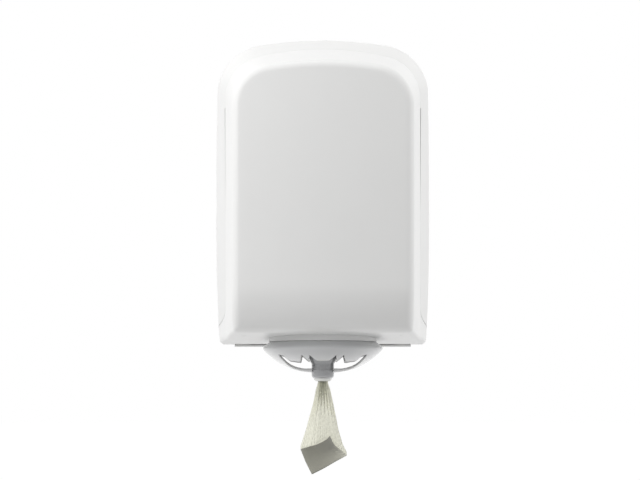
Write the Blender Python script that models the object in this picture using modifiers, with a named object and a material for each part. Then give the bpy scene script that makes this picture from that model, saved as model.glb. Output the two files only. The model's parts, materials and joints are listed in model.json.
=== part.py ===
"""Centrefeed roll dispenser: wall housing, drop-down cover, toothed bowl, turning nozzle and paper.

Metres, +Z up. The wall is the plane y = 0 behind the housing, the front faces -Y, and the origin is the
middle of the housing's back face.
"""

import math

import bmesh
import bpy
from mathutils import Matrix, Vector

# The roll, which everything is built round
ROLL_RADIUS = 0.095
ROLL_BORE_RADIUS = 0.032
ROLL_HEIGHT = 0.265
ROLL_EDGE = 0.002
ROLL_BACK_SPACE = 0.013
ROLL_SIDE_SPACE = 0.0331
ROLL_FRONT_SPACE = 0.037
ROLL_HEADROOM = 0.0943
ROLL_DEPTH = ROLL_BACK_SPACE + ROLL_RADIUS
SHELF_TOP = -0.173

# Housing and cover, outer sizes at each depth
WALL = 0.003
STRAIGHT_DEPTH = 0.045
SEAM_DEPTH = 0.100
SIDE_FLARE = 0.0154
TOP_FLARE = 0.0177
PANEL_SIDE_DRAW = 0.0137
PANEL_TOP_DRAW = 0.0247
SEAM_HALF_WIDTH = ROLL_RADIUS + ROLL_SIDE_SPACE
SEAM_TOP = SHELF_TOP + ROLL_HEIGHT + ROLL_HEADROOM
REAR_HALF_WIDTH = SEAM_HALF_WIDTH + SIDE_FLARE
REAR_TOP = SEAM_TOP + TOP_FLARE
PANEL_HALF_WIDTH = SEAM_HALF_WIDTH - PANEL_SIDE_DRAW
PANEL_TOP = SEAM_TOP - PANEL_TOP_DRAW
REAR_CROWN_RADIUS = 0.538
REAR_CORNER_RADIUS = 0.067
REAR_BULGE_ABOVE = 0.0030
REAR_BULGE_BELOW = 0.0045
SEAM_CROWN_RADIUS = 0.368
SEAM_CORNER_RADIUS = 0.055
PANEL_CROWN_RADIUS = 0.411
PANEL_CORNER_RADIUS = 0.0524
PANEL_EDGE_ROUND = 0.011
PANEL_EDGE_START = math.radians(8)
WIDEST_HEIGHT = -0.0406
LOWER_CORNER_RADIUS = 0.005
LEAST_CORNER_SHARE = 0.33

# Front panel's own curve
FRONT_DEPTH = ROLL_DEPTH + ROLL_RADIUS + ROLL_FRONT_SPACE
FRONT_PEAK_HEIGHT = -0.030
PANEL_SAG_TOP = 0.008
PANEL_SAG_SIDE = 0.006
PANEL_SAG_LOW = 0.002
TUCK_HEIGHT = 0.0624
TUCK_RADIUS = 0.075
TUCK_DRAW = 0.035

# Underside, which rises towards the front
SUMP_REAR = 0.0351
SUMP_FRONT = 0.0094
BACK_SKIRT = 0.0044
UNDERSIDE_REAR = SHELF_TOP - SUMP_REAR
UNDERSIDE_FRONT = SHELF_TOP - SUMP_FRONT
UNDERSIDE_FRONT_DEPTH = FRONT_DEPTH - TUCK_DRAW
REAR_BOTTOM = UNDERSIDE_REAR - BACK_SKIRT
TUCK_START = UNDERSIDE_FRONT + TUCK_HEIGHT

# Parting line between housing and cover
SEAM_GAP = 0.0009
SWEEP_END_RISE = 0.0201
SWEEP_BEND_RISE = 0.016
SWEEP_TOP_RISE = 0.017
SWEEP_END = UNDERSIDE_REAR + SWEEP_END_RISE
SWEEP_BEND = SWEEP_END + SWEEP_BEND_RISE
SWEEP_TOP = SWEEP_BEND + SWEEP_TOP_RISE
BACK_LIP_DEPTH = 0.0040
BACK_CORNER_WIDTH = 0.0235
BACK_HALF_WIDTH = REAR_HALF_WIDTH - BACK_CORNER_WIDTH
LIP_WALL = 0.0016
LIP_REACH = 0.007
LIP_CLEARANCE = 0.0012
LIP_ROOT = 0.006
GRIP_DROP = 0.0773
GRIP_LENGTH = 0.142
GRIP_WIDTH = 0.0018
GRIP_TOP = SEAM_TOP - GRIP_DROP
GRIP_BOTTOM = GRIP_TOP - GRIP_LENGTH

# Hinge
HINGE_DEPTH = 0.009
HINGE_CORNER_RADIUS = 0.0085
HINGE_HEIGHT = SWEEP_END - HINGE_CORNER_RADIUS
PIN_RADIUS = 0.0025
PIN_HEAD_RADIUS = 0.0042
PIN_HEAD_LENGTH = 0.002
LUG_INSET = 0.008
LUG_WIDTH = 0.012
LUG_INNER = BACK_HALF_WIDTH - LUG_INSET - LUG_WIDTH
LUG_RADIUS = 0.0075
KNUCKLE_DEPTH = 0.0160
KNUCKLE_RADIUS = 0.0055
HINGE_SIDE_GAP = 0.0005
UNDERSIDE_SETBACK = 0.010

# Wall fixing
SCREW_HOLE_RADIUS = 0.003
SCREW_PAD_RADIUS = 0.009
SCREW_PAD_HEIGHT = 0.002
SCREW_DROP_FROM_TOP = 0.064
SCREW_RISE_FROM_BOTTOM = 0.0725
SCREW_HOLE_HIGH = REAR_TOP - SCREW_DROP_FROM_TOP
SCREW_HOLE_LOW = REAR_BOTTOM + SCREW_RISE_FROM_BOTTOM
RIB_WIDTH = 0.002
RIB_HEIGHT = 0.005
RIB_X = 0.048
SCREW_FROM_RIB = 0.027
SCREW_HOLE_X = RIB_X + SCREW_FROM_RIB
RIB_FROM_SCREW = 0.040
RIB_SIDE_MARGIN = 0.012

# Lock
LOCK_DEPTH = 0.020
LOCK_RADIUS = 0.008
LOCK_BUSH_WALL = 0.002
LOCK_BUSH_LENGTH = 0.012
LOCK_FLANGE_REACH = 0.0012
LOCK_FLANGE_HEIGHT = 0.0010
LOCK_NUT_REACH = 0.0037
LOCK_NUT_HEIGHT = 0.004
LOCK_SHANK_RADIUS = 0.0035
KEY_RECESS_DEPTH = 0.004
KEY_RECESS_RADIUS = 0.0036
KEY_SLOT_LENGTH = 0.012
KEY_SLOT_WIDTH = 0.0028
KEY_SLOT_DEPTH = 0.0028
CAM_LENGTH = 0.021
CAM_WIDTH = 0.009
CAM_THICKNESS = 0.003
CAM_SCREW_HEAD_RADIUS = 0.005

# Strike hook on the cover
HOOK_LEFT = 0.007
HOOK_WIDTH = 0.014
HOOK_THICKNESS = 0.003
HOOK_DROP = 0.0095
HOOK_REACH = 0.030
HOOK_FRONT_DEPTH = SEAM_DEPTH + HOOK_REACH
HOOK_UPSTAND_GAP = 0.0015
HOOK_BOSS_RADIUS = 0.004

# Shelf
SHELF_THICKNESS = 0.003
SHELF_SIDE_GAP = 0.0024
SHELF_FRONT_GAP = 0.039
SHELF_HALF_WIDTH = PANEL_HALF_WIDTH - WALL - SHELF_SIDE_GAP
SHELF_FRONT_DEPTH = FRONT_DEPTH - SHELF_FRONT_GAP
SHELF_REAR_DEPTH = 0.028
SHELF_CORNER = 0.040
SHELF_HOLE_MARGIN = 0.002
SHELF_HOLE_RADIUS = ROLL_BORE_RADIUS + SHELF_HOLE_MARGIN
SHELF_THROAT_WALL = 0.002
SHELF_THROAT_DROP = 0.009
SHELF_BOSS_INSET = 0.008
SHELF_BOSS_X = SHELF_HALF_WIDTH - SHELF_BOSS_INSET
SHELF_BOSS_SPREAD = 0.044
SHELF_BOSS_RADIUS = 0.005

# Small screws
SCREW_RADIUS = 0.0014
SCREW_LENGTH = 0.010
SCREW_HEAD_RADIUS = 0.0032
SCREW_HEAD_HEIGHT = 0.0018
HEAD_CROWN_SHARE = 0.75
HEAD_EDGE_SHARE = 0.5

# Bowl, in its own tilted frame: z = 0 is its widest ring
BOWL_HANG = 0.0121
BOWL_TILT = math.radians(4.8)
BOWL_RADIUS = 0.0796
BOWL_DROP = 0.0317
BOWL_POWER = 2.7
BOWL_WALL_DROP = 0.0050
BOWL_SHOULDER_DRAW = 0.0091
BOWL_TOP_RADIUS = BOWL_RADIUS - BOWL_SHOULDER_DRAW
BOWL_TOP = 0.0085
BOWL_RING_WIDTH = 0.0125
BOWL_RING_INNER = BOWL_TOP_RADIUS - BOWL_RING_WIDTH
BOWL_RING_THICKNESS = 0.0025
BOWL_SHOULDER_WALL = 0.003
BOWL_SCREW_CIRCLE = (BOWL_TOP_RADIUS + BOWL_RING_INNER) / 2
COLLAR_WALL = 0.003
COLLAR_BOSS_RADIUS = 0.0042

# Nozzle and insert, heights below the bowl's widest ring
NOZZLE_RADIUS = 0.0147
NOZZLE_PROUD = 0.0073
NOZZLE_LENGTH = 0.0315
NOZZLE_ROUND = 0.004
NOZZLE_FLARE_RISE = 0.0190
NOZZLE_FLARE_HEIGHT = 0.0060
NOZZLE_FLARE_REACH = 0.0043
NOZZLE_WALL = 0.0022
NOZZLE_FLOOR = 0.003
NOZZLE_BEAD = 0.0007
NOZZLE_BOTTOM = BOWL_DROP + NOZZLE_PROUD
NOZZLE_TOP = NOZZLE_BOTTOM - NOZZLE_LENGTH
NOZZLE_FLARE_BOTTOM = NOZZLE_BOTTOM - NOZZLE_FLARE_RISE
NOZZLE_FLARE_TOP = NOZZLE_FLARE_BOTTOM - NOZZLE_FLARE_HEIGHT
NOZZLE_FUNNEL_RADIUS = NOZZLE_RADIUS + NOZZLE_FLARE_REACH
INSERT_STEP = 0.0010
INSERT_LIP_RADIUS = NOZZLE_RADIUS - NOZZLE_WALL - INSERT_STEP
INSERT_LIP_LENGTH = 0.0038
INSERT_FLANGE_HEIGHT = 0.0030
INSERT_THROAT_CLEARANCE = 0.0008
INSERT_THROAT_LENGTH = 0.003
INSERT_WALL = 0.0015

# Paper from the roll's core to the throat, and the tail below it
FEED_RADIUS = 0.0065
FEED_CORE_DEPTH_SHARE = 0.5
FEED_BEND_DEPTH_SHARE = 0.7
FEED_BEND_SIDE_SHARE = 0.8
FEED_BEND_DROP_SHARE = 0.6
FEED_BOWL_SIDE_SHARE = 0.2
TAIL_THROAT_RADIUS = 0.0060
TAIL_THROAT_HALF_DEPTH = 0.0038
TAIL_PIVOT_DROP = 0.0010
TAIL_DOME_TURN = math.radians(75)
TAIL_FOLDS = 5
TAIL_FOLD_SHARE = 0.20
TAIL_FLAT_SHARE = 0.36
TAIL_SWELL_DROP = 0.0333
TAIL_SWELL_HALF_WIDTH = 0.0157
TAIL_HEM_DROP = 0.0897
TAIL_HEM_HALF_WIDTH = 0.0262
TAIL_LEAN = 0.0016

# The tail's turned-up corner: places across, and heights above the hem
CORNER_THICKNESS = 0.0016
CORNER_LEFT = -0.0290
CORNER_LEFT_RISE = 0.0006
CORNER_PEAK = 0.0090
CORNER_PEAK_RISE = 0.0181
CORNER_NECK = 0.0171
CORNER_NECK_RISE = 0.0041
CORNER_RIGHT = 0.0315
CORNER_RIGHT_RISE = -0.0069
CORNER_TIP = -0.0136
CORNER_TIP_RISE = -0.0310

# Fits
GAP = 0.0003
OVERRUN = 0.010
BED = 0.0010
WELD = 0.00001
INSERT_THROAT_RADIUS = TAIL_THROAT_RADIUS + INSERT_THROAT_CLEARANCE
HUB_RADIUS = NOZZLE_RADIUS + GAP
HUB_GROOVE_DEPTH = 0.0011
HUB_GROOVE_LOW = 0.0012
HUB_GROOVE_HEIGHT = 0.0024
ARM_HALF_WIDTH = 0.008
ARM_FILLET = 0.008

FULL_TURN = 2 * math.pi
SHARP_ANGLE = math.radians(35)


def clear_scene():
    for obj in list(bpy.data.objects):
        bpy.data.objects.remove(obj, do_unlink=True)


def new_collection(name, hidden=False):
    collection = bpy.data.collections.new(name)
    bpy.context.scene.collection.children.link(collection)
    collection.hide_render = hidden
    return collection


def make_material(name, color, roughness, metallic=0.0):
    material = bpy.data.materials.new(name)
    material.use_nodes = True
    shader = material.node_tree.nodes["Principled BSDF"]
    shader.inputs["Base Color"].default_value = (*color, 1.0)
    shader.inputs["Roughness"].default_value = roughness
    shader.inputs["Metallic"].default_value = metallic
    return material


class Shop:
    """The two collections and the materials that every piece is made with."""

    def __init__(self):
        self.parts = new_collection("centrefeed_dispenser")
        self.cutters = new_collection("cutters", hidden=True)
        self.cover = make_material("gloss_white", (0.86, 0.86, 0.86), 0.25)
        self.housing = make_material("satin_white", (0.80, 0.80, 0.80), 0.35)
        self.bowl = make_material("pale_grey", (0.50, 0.50, 0.50), 0.45)
        self.nozzle = make_material("mid_grey", (0.22, 0.23, 0.24), 0.45)
        self.insert = make_material("soft_white", (0.75, 0.75, 0.73), 0.5)
        self.paper = make_material("cream_paper", (0.80, 0.79, 0.68), 0.9)
        self.steel = make_material("zinc_steel", (0.60, 0.60, 0.62), 0.3, 1.0)
        self.shelf = make_material("shelf_white", (0.70, 0.70, 0.70), 0.5)


def add_object(name, mesh, collection, material=None):
    obj = bpy.data.objects.new(name, mesh)
    collection.objects.link(obj)
    if material:
        mesh.materials.append(material)
    return obj


def as_cutter(obj):
    obj.hide_render = True
    obj.display_type = "WIRE"
    return obj


def mesh_from(bm, name):
    mesh = bpy.data.meshes.new(name)
    bm.to_mesh(mesh)
    bm.free()
    return mesh


def block(shop, name, low, high, material=None):
    """A box between two corners. Without a material it is a cutter."""
    low, high = Vector(low), Vector(high)
    bm = bmesh.new()
    bmesh.ops.create_cube(bm, size=1.0)
    size = Matrix.Diagonal((*(high - low), 1.0))
    bmesh.ops.transform(bm, matrix=Matrix.Translation((low + high) / 2) @ size, verts=bm.verts)
    mesh = mesh_from(bm, name)
    if material:
        return add_object(name, mesh, shop.parts, material)
    return as_cutter(add_object(name, mesh, shop.cutters))


def rod(shop, name, start, end, radius, segments=20, material=None):
    """A round bar from start to end. Without a material it is a cutter."""
    start, end = Vector(start), Vector(end)
    bm = bmesh.new()
    length = (end - start).length
    bmesh.ops.create_cone(
        bm, cap_ends=True, segments=segments, radius1=radius, radius2=radius, depth=length
    )
    turn = (end - start).to_track_quat("Z", "Y").to_matrix().to_4x4()
    bmesh.ops.transform(bm, matrix=Matrix.Translation((start + end) / 2) @ turn, verts=bm.verts)
    mesh = mesh_from(bm, name)
    if material:
        mesh.shade_smooth()
        mesh.set_sharp_from_angle(angle=SHARP_ANGLE)
        return add_object(name, mesh, shop.parts, material)
    return as_cutter(add_object(name, mesh, shop.cutters))


def profile_mesh(name, profile, closed):
    """The half section of a turned piece, from (radius, height) points."""
    bm = bmesh.new()
    verts = [bm.verts.new((radius, 0.0, height)) for radius, height in profile]
    for a, b in zip(verts, verts[1:]):
        bm.edges.new((a, b))
    if closed:
        bm.edges.new((verts[-1], verts[0]))
    return mesh_from(bm, name)


def turn_about_z(obj, steps):
    screw = obj.modifiers.new("Turn", "SCREW")
    screw.axis = "Z"
    screw.angle = FULL_TURN
    screw.steps = steps
    screw.render_steps = steps
    screw.use_merge_vertices = True
    screw.merge_threshold = WELD
    screw.use_smooth_shade = True


def turned(shop, name, profile, steps, place, material=None):
    """A closed profile turned about local Z. Without a material it is a cutter."""
    collection = shop.parts if material else shop.cutters
    obj = add_object(name, profile_mesh(name, profile, True), collection, material)
    turn_about_z(obj, steps)
    obj.matrix_world = place
    return obj if material else as_cutter(obj)


def turned_open(shop, name, profile, steps, place, material=None):
    """A profile that starts and ends on the axis, turned about local Z."""
    mesh = profile_mesh(name, profile, False)
    obj = add_object(name, mesh, shop.parts, material or shop.steel)
    turn_about_z(obj, steps)
    obj.matrix_world = place
    return obj


def flat_solid(shop, name, outline, low, high, axes, place=None, material=None):
    """A 2D outline in the plane of two axes, such as YZ, thickened from low to high along the third."""
    curve = bpy.data.curves.new(name, "CURVE")
    curve.dimensions = "2D"
    curve.fill_mode = "BOTH"
    curve.extrude = (high - low) / 2
    spline = curve.splines.new("POLY")
    spline.points.add(len(outline) - 1)
    for point, (u, v) in zip(spline.points, outline):
        point.co = (u, v, 0.0, 1.0)
    spline.use_cyclic_u = True
    draft = bpy.data.objects.new(name + "_outline", curve)
    shop.cutters.objects.link(draft)
    bpy.context.view_layer.update()
    graph = bpy.context.evaluated_depsgraph_get()
    mesh = bpy.data.meshes.new_from_object(draft.evaluated_get(graph))
    bpy.data.objects.remove(draft, do_unlink=True)
    mesh.name = name
    mesh.materials.clear()
    bm = bmesh.new()
    bm.from_mesh(mesh)
    bmesh.ops.translate(bm, vec=(0.0, 0.0, (low + high) / 2), verts=bm.verts)
    first, second = (Vector(Matrix.Identity(3)["XYZ".index(letter)]) for letter in axes)
    basis = Matrix((first, second, first.cross(second))).transposed().to_4x4()
    bmesh.ops.transform(bm, matrix=basis, verts=bm.verts)
    bmesh.ops.remove_doubles(bm, verts=bm.verts, dist=WELD)
    bmesh.ops.recalc_face_normals(bm, faces=bm.faces)
    bm.to_mesh(mesh)
    bm.free()
    obj = add_object(name, mesh, shop.parts if material else shop.cutters, material)
    if place:
        obj.matrix_world = place
    return obj if material else as_cutter(obj)


SIDES = ((-1, "left"), (1, "right"))


def loft(name, rings, cap_start=None, face=None, closed=False):
    """A skin through closed rings of equal length. It can start at a point and end in a face."""
    bm = bmesh.new()
    rows = [[bm.verts.new(point) for point in ring] for ring in rings]
    count = len(rows[0])
    for near, far in zip(rows, rows[1:]):
        for i in range(count):
            j = (i + 1) % count
            bm.faces.new((near[i], near[j], far[j], far[i]))
    if cap_start:
        tip = bm.verts.new(cap_start)
        for i in range(count):
            bm.faces.new((rows[0][i], rows[0][(i + 1) % count], tip))
    if face:
        face(bm, rows[-1])
    if closed:
        bm.faces.new(rows[0])
        bm.faces.new(rows[-1])
    bmesh.ops.recalc_face_normals(bm, faces=bm.faces)
    mesh = mesh_from(bm, name)
    mesh.shade_smooth()
    return mesh


def boolean(target, other, operation):
    step = target.modifiers.new(f"{operation.title()} {other.name}", "BOOLEAN")
    step.operation = operation
    step.solver = "EXACT"
    step.object = other


def cut(target, *others):
    for other in others:
        boolean(target, other, "DIFFERENCE")


def join(target, *others):
    for other in others:
        boolean(target, other, "UNION")


def thicken(obj, wall):
    solid = obj.modifiers.new("Wall", "SOLIDIFY")
    solid.thickness = wall
    solid.offset = -1.0
    solid.use_even_offset = True
    obj.modifiers.new("Facets", "TRIANGULATE")


def hang_on(empty, *objects):
    """Parents objects to an empty without moving them."""
    bpy.context.view_layer.update()
    for obj in objects:
        place = obj.matrix_world.copy()
        obj.parent = empty
        obj.matrix_parent_inverse = empty.matrix_world.inverted()
        obj.matrix_world = place


def make_empty(shop, name, location, tilt=0.0):
    empty = bpy.data.objects.new(name, None)
    empty.location = location
    empty.rotation_euler.x = tilt
    shop.parts.objects.link(empty)
    return empty


def lerp(a, b, share):
    return a + (b - a) * share


class Outline:
    """The body's outline at one depth: crowned top, round upper corners, bowed sides, flat bottom."""

    CROWN_STEPS = 4
    CORNER_STEPS = 8
    SIDE_STEPS = 4
    TUCK_STEPS = 6
    LOWER_CORNER_STEPS = 2
    BOTTOM_STEPS = 3

    def __init__(self, half_width, top, bottom, crown, corner, bulge_above=0.0, bulge_below=0.0,
                 lower_corner=LOWER_CORNER_RADIUS):
        self.half_width = half_width
        self.top = top
        self.bottom = bottom
        self.crown = crown
        self.corner = corner
        self.bulge_above = bulge_above
        self.bulge_below = bulge_below
        self.lower_corner = lower_corner

    def toward(self, other, share):
        """The outline part of the way to another one."""
        mixed = {key: lerp(value, getattr(other, key), share) for key, value in vars(self).items()}
        return Outline(**mixed)

    def inset(self, distance):
        """The outline drawn in by a distance all round."""
        return Outline(
            self.half_width - distance,
            self.top - distance,
            self.bottom + distance,
            self.crown - distance,
            self.corner - distance,
            self.bulge_above,
            self.bulge_below,
            max(self.lower_corner - distance, self.lower_corner * LEAST_CORNER_SHARE),
        )

    def down_to(self, bottom):
        """The same outline with its bottom at another height."""
        return Outline(**{**vars(self), "bottom": bottom})

    def side_x(self, height):
        """Half the width at a height on the side."""
        if height >= WIDEST_HEIGHT:
            share = (height - WIDEST_HEIGHT) / (self.top - WIDEST_HEIGHT)
            return self.half_width - self.bulge_above * share**2
        share = (WIDEST_HEIGHT - height) / (WIDEST_HEIGHT - self.bottom)
        return self.half_width - self.bulge_below * share**2

    def half(self):
        """(x, z) points of the right half, from the middle of the top down to the middle of the bottom."""
        corner_x = self.half_width - self.bulge_above / 2 - self.corner
        lean = math.asin(corner_x / (self.crown - self.corner))
        crown_centre = self.top - self.crown
        corner_z = crown_centre + (self.crown - self.corner) * math.cos(lean)
        points = []
        for i in range(self.CROWN_STEPS):
            angle = lean * i / self.CROWN_STEPS
            points.append((self.crown * math.sin(angle), crown_centre + self.crown * math.cos(angle)))
        for i in range(self.CORNER_STEPS + 1):
            angle = lerp(lean, math.pi / 2, i / self.CORNER_STEPS)
            x = corner_x + self.corner * math.sin(angle)
            points.append((x, corner_z + self.corner * math.cos(angle)))
        low = self.bottom + self.lower_corner
        heights = [lerp(corner_z, TUCK_START, i / self.SIDE_STEPS) for i in range(1, self.SIDE_STEPS + 1)]
        heights += [lerp(TUCK_START, low, i / self.TUCK_STEPS) for i in range(1, self.TUCK_STEPS)]
        points += [(self.side_x(height), height) for height in heights]
        centre_x = self.side_x(low) - self.lower_corner
        for i in range(self.LOWER_CORNER_STEPS + 1):
            angle = math.pi / 2 * i / self.LOWER_CORNER_STEPS
            points.append(
                (centre_x + self.lower_corner * math.cos(angle), low - self.lower_corner * math.sin(angle))
            )
        for i in range(1, self.BOTTOM_STEPS + 1):
            points.append((centre_x * (1 - i / self.BOTTOM_STEPS), self.bottom))
        return points

    def ring(self):
        """The whole outline as (x, z) points."""
        right = self.half()
        left = [(-x, z) for x, z in reversed(right[1:-1])]
        return right + left


def underside_at(depth):
    """Height of the cover's underside at a depth."""
    return lerp(UNDERSIDE_REAR, UNDERSIDE_FRONT, depth / UNDERSIDE_FRONT_DEPTH)


REAR = Outline(
    REAR_HALF_WIDTH, REAR_TOP, UNDERSIDE_REAR, REAR_CROWN_RADIUS, REAR_CORNER_RADIUS,
    REAR_BULGE_ABOVE, REAR_BULGE_BELOW,
)
SEAM = Outline(
    SEAM_HALF_WIDTH, SEAM_TOP, underside_at(SEAM_DEPTH), SEAM_CROWN_RADIUS, SEAM_CORNER_RADIUS
)
PANEL = Outline(
    PANEL_HALF_WIDTH, PANEL_TOP, UNDERSIDE_FRONT, PANEL_CROWN_RADIUS, PANEL_CORNER_RADIUS
)


def front_depth(x, z):
    """How far in front of the wall the panel's surface stands at a place."""
    depth = FRONT_DEPTH - PANEL_SAG_SIDE * (x / PANEL_HALF_WIDTH) ** 2
    if z > FRONT_PEAK_HEIGHT:
        return depth - PANEL_SAG_TOP * ((z - FRONT_PEAK_HEIGHT) / (PANEL_TOP - FRONT_PEAK_HEIGHT)) ** 2
    depth -= PANEL_SAG_LOW * ((z - FRONT_PEAK_HEIGHT) / (FRONT_PEAK_HEIGHT - UNDERSIDE_FRONT)) ** 2
    if z < TUCK_START:
        fall = TUCK_START - z
        depth -= TUCK_RADIUS - math.sqrt(TUCK_RADIUS**2 - fall**2)
    return depth


def station(outline, depth):
    """A ring of the skin, all at one depth."""
    return [(x, -depth, z) for x, z in outline.ring()]


def cover_skin():
    """The cover's outer surface, from behind the seam to the front panel."""
    straight = REAR.down_to(underside_at(STRAIGHT_DEPTH))
    rings = [station(REAR, 0.0), station(straight, STRAIGHT_DEPTH), station(SEAM, SEAM_DEPTH)]
    steps = 4
    for i in range(steps + 1):
        angle = lerp(PANEL_EDGE_START, math.pi / 2, i / steps)
        drawn = PANEL.inset(PANEL_EDGE_ROUND * (1 - math.cos(angle)))
        back = PANEL_EDGE_ROUND * (1 - math.sin(angle))
        rings.append([(x, back - front_depth(x, z), z) for x, z in drawn.ring()])
    return loft("front_cover", rings, face=across)


def across(bm, row):
    """Closes the last ring with level rows from side to side, which follow the panel's own curve."""
    half = len(row) // 2
    columns = 2 * Outline.BOTTOM_STEPS
    last = half - Outline.BOTTOM_STEPS
    rows = []
    for i in range(1, last + 1):
        right, left = row[i], row[-i]
        level = [left]
        for j in range(1, columns):
            x = lerp(left.co.x, right.co.x, j / columns)
            if i == last:
                level.append(row[-last - j])
            else:
                level.append(bm.verts.new((x, -front_depth(x, right.co.z), right.co.z)))
        rows.append(level + [right])
    for j in range(columns):
        bm.faces.new((row[0], rows[0][j], rows[0][j + 1]))
    for near, far in zip(rows, rows[1:]):
        for j in range(columns):
            bm.faces.new((near[j], far[j], far[j + 1], near[j + 1]))


def sweep_curve(gap_y, gap_z, steps=8):
    """(y, z) points of the parting line, from the seam's straight part back to the top of the hinge."""
    start = (-SEAM_DEPTH + gap_y, SWEEP_TOP + gap_z)
    bend = (-SEAM_DEPTH + gap_y, SWEEP_BEND + gap_z)
    end = (-HINGE_DEPTH, SWEEP_END + gap_z)
    points = []
    for i in range(steps + 1):
        t = i / steps
        points.append(
            tuple(
                a * (1 - t) ** 2 + 2 * b * t * (1 - t) + c * t**2 for a, b, c in zip(start, bend, end)
            )
        )
    return points


def bowl_centre():
    """The middle of the bowl's widest ring, a little below the cover's underside."""
    return Vector((0.0, -ROLL_DEPTH, underside_at(ROLL_DEPTH) - BOWL_HANG))


def bowl_place():
    """The bowl's tilted frame."""
    return Matrix.Translation(bowl_centre()) @ Matrix.Rotation(-BOWL_TILT, 4, "X")


def around(count, radius, start=math.pi / 4):
    """Places spaced evenly on a circle, as (x, y)."""
    return [
        (radius * math.cos(start + FULL_TURN * i / count), radius * math.sin(start + FULL_TURN * i / count))
        for i in range(count)
    ]


def small_screw(shop, name, place, length=SCREW_LENGTH, head=SCREW_HEAD_RADIUS):
    """A pan-head screw along local Z, the underside of its head at z = 0 and its shank below."""
    profile = [
        (0.0, SCREW_HEAD_HEIGHT),
        (head * HEAD_CROWN_SHARE, SCREW_HEAD_HEIGHT),
        (head, SCREW_HEAD_HEIGHT * HEAD_EDGE_SHARE),
        (head, 0.0),
        (SCREW_RADIUS, 0.0),
        (SCREW_RADIUS, -length + SCREW_RADIUS),
        (0.0, -length),
    ]
    return turned_open(shop, name, profile, 10, place)


def flipped(place):
    """The same place with local Z turned to point the other way."""
    return place @ Matrix.Rotation(math.pi, 4, "X")


def make_rear_housing(shop):
    back = REAR.down_to(REAR_BOTTOM)
    rings = [
        station(back, 0.0),
        station(back, STRAIGHT_DEPTH),
        station(SEAM, SEAM_DEPTH),
        station(SEAM, SEAM_DEPTH + OVERRUN),
    ]
    mesh = loft("rear_housing", rings, cap_start=(0.0, 0.0, 0.0))
    housing = add_object("rear_housing", mesh, shop.parts, shop.housing)
    thicken(housing, WALL)
    cut_front_edge(shop, housing)
    add_ribs(shop, housing)
    add_hinge_lugs(shop, housing)
    add_screw_pads(shop, housing)
    lock_hole = rod(
        shop,
        "lock_hole",
        (0.0, -LOCK_DEPTH, REAR_TOP - 2 * OVERRUN),
        (0.0, -LOCK_DEPTH, REAR_TOP + OVERRUN),
        LOCK_RADIUS + LOCK_BUSH_WALL + 2 * GAP,
    )
    cut(housing, lock_hole)
    cut_finger_grips(shop, housing)
    add_inner_lip(shop, housing)
    return housing


def cut_front_edge(shop, housing):
    """The housing ends at the seam, follows the sweep to the wall, and leaves its lower corners out."""
    half = REAR_HALF_WIDTH + OVERRUN
    far = -SEAM_DEPTH - 2 * OVERRUN
    high = REAR_TOP + OVERRUN
    low = REAR_BOTTOM - OVERRUN
    lip_top = REAR_BOTTOM + WALL + GAP
    outline = [(far, high), (-SEAM_DEPTH + SEAM_GAP / 2, high)]
    outline += sweep_curve(SEAM_GAP / 2, SEAM_GAP)
    outline += [
        (-WALL, SWEEP_END + SEAM_GAP),
        (-WALL, lip_top),
        (-BACK_LIP_DEPTH, lip_top),
        (-BACK_LIP_DEPTH, low),
        (far, low),
    ]
    cut(housing, flat_solid(shop, "front_region", outline, -half, half, "YZ"))
    for side, name in SIDES:
        ends = sorted((side * (BACK_HALF_WIDTH + GAP), side * half))
        corner = block(
            shop,
            f"back_corner_{name}",
            (ends[0], -STRAIGHT_DEPTH, low),
            (ends[1], OVERRUN, SWEEP_END + SEAM_GAP),
        )
        cut(housing, corner)


def add_ribs(shop, housing):
    front = -WALL - RIB_HEIGHT
    back = -WALL + BED
    half = RIB_WIDTH / 2
    for side, name in SIDES:
        x = side * RIB_X
        low = (x - half, front, SCREW_HOLE_LOW)
        high = (x + half, back, SCREW_HOLE_HIGH)
        join(housing, block(shop, f"rib_upright_{name}", low, high))
    reach = REAR_HALF_WIDTH - RIB_SIDE_MARGIN
    for z, name in ((SCREW_HOLE_HIGH - RIB_FROM_SCREW, "high"), (SCREW_HOLE_LOW + RIB_FROM_SCREW, "low")):
        join(housing, block(shop, f"rib_cross_{name}", (-reach, front, z - half), (reach, back, z + half)))


def add_hinge_lugs(shop, housing):
    axis = (-HINGE_DEPTH, HINGE_HEIGHT)
    for side, name in SIDES:
        ends = sorted((side * LUG_INNER, side * (LUG_INNER + LUG_WIDTH)))
        nose = rod(shop, f"lug_nose_{name}", (ends[0], *axis), (ends[1], *axis), LUG_RADIUS)
        stem = block(
            shop,
            f"lug_stem_{name}",
            (ends[0], -HINGE_DEPTH, HINGE_HEIGHT - LUG_RADIUS),
            (ends[1], -WALL + BED, HINGE_HEIGHT + LUG_RADIUS),
        )
        join(housing, stem, nose)
        start = (ends[0] - OVERRUN, *axis)
        end = (ends[1] + OVERRUN, *axis)
        cut(housing, rod(shop, f"lug_hole_{name}", start, end, PIN_RADIUS + GAP))


def add_screw_pads(shop, housing):
    for side, side_name in SIDES:
        x = side * SCREW_HOLE_X
        for z, height_name in ((SCREW_HOLE_LOW, "low"), (SCREW_HOLE_HIGH, "high")):
            tag = f"{side_name}_{height_name}"
            seat = (x, -WALL - SCREW_PAD_HEIGHT, z)
            join(housing, rod(shop, f"screw_pad_{tag}", (x, -WALL + BED, z), seat, SCREW_PAD_RADIUS))
            start, end = (x, OVERRUN, z), (x, -OVERRUN - WALL, z)
            cut(housing, rod(shop, f"wall_hole_{tag}", start, end, SCREW_HOLE_RADIUS))


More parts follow.
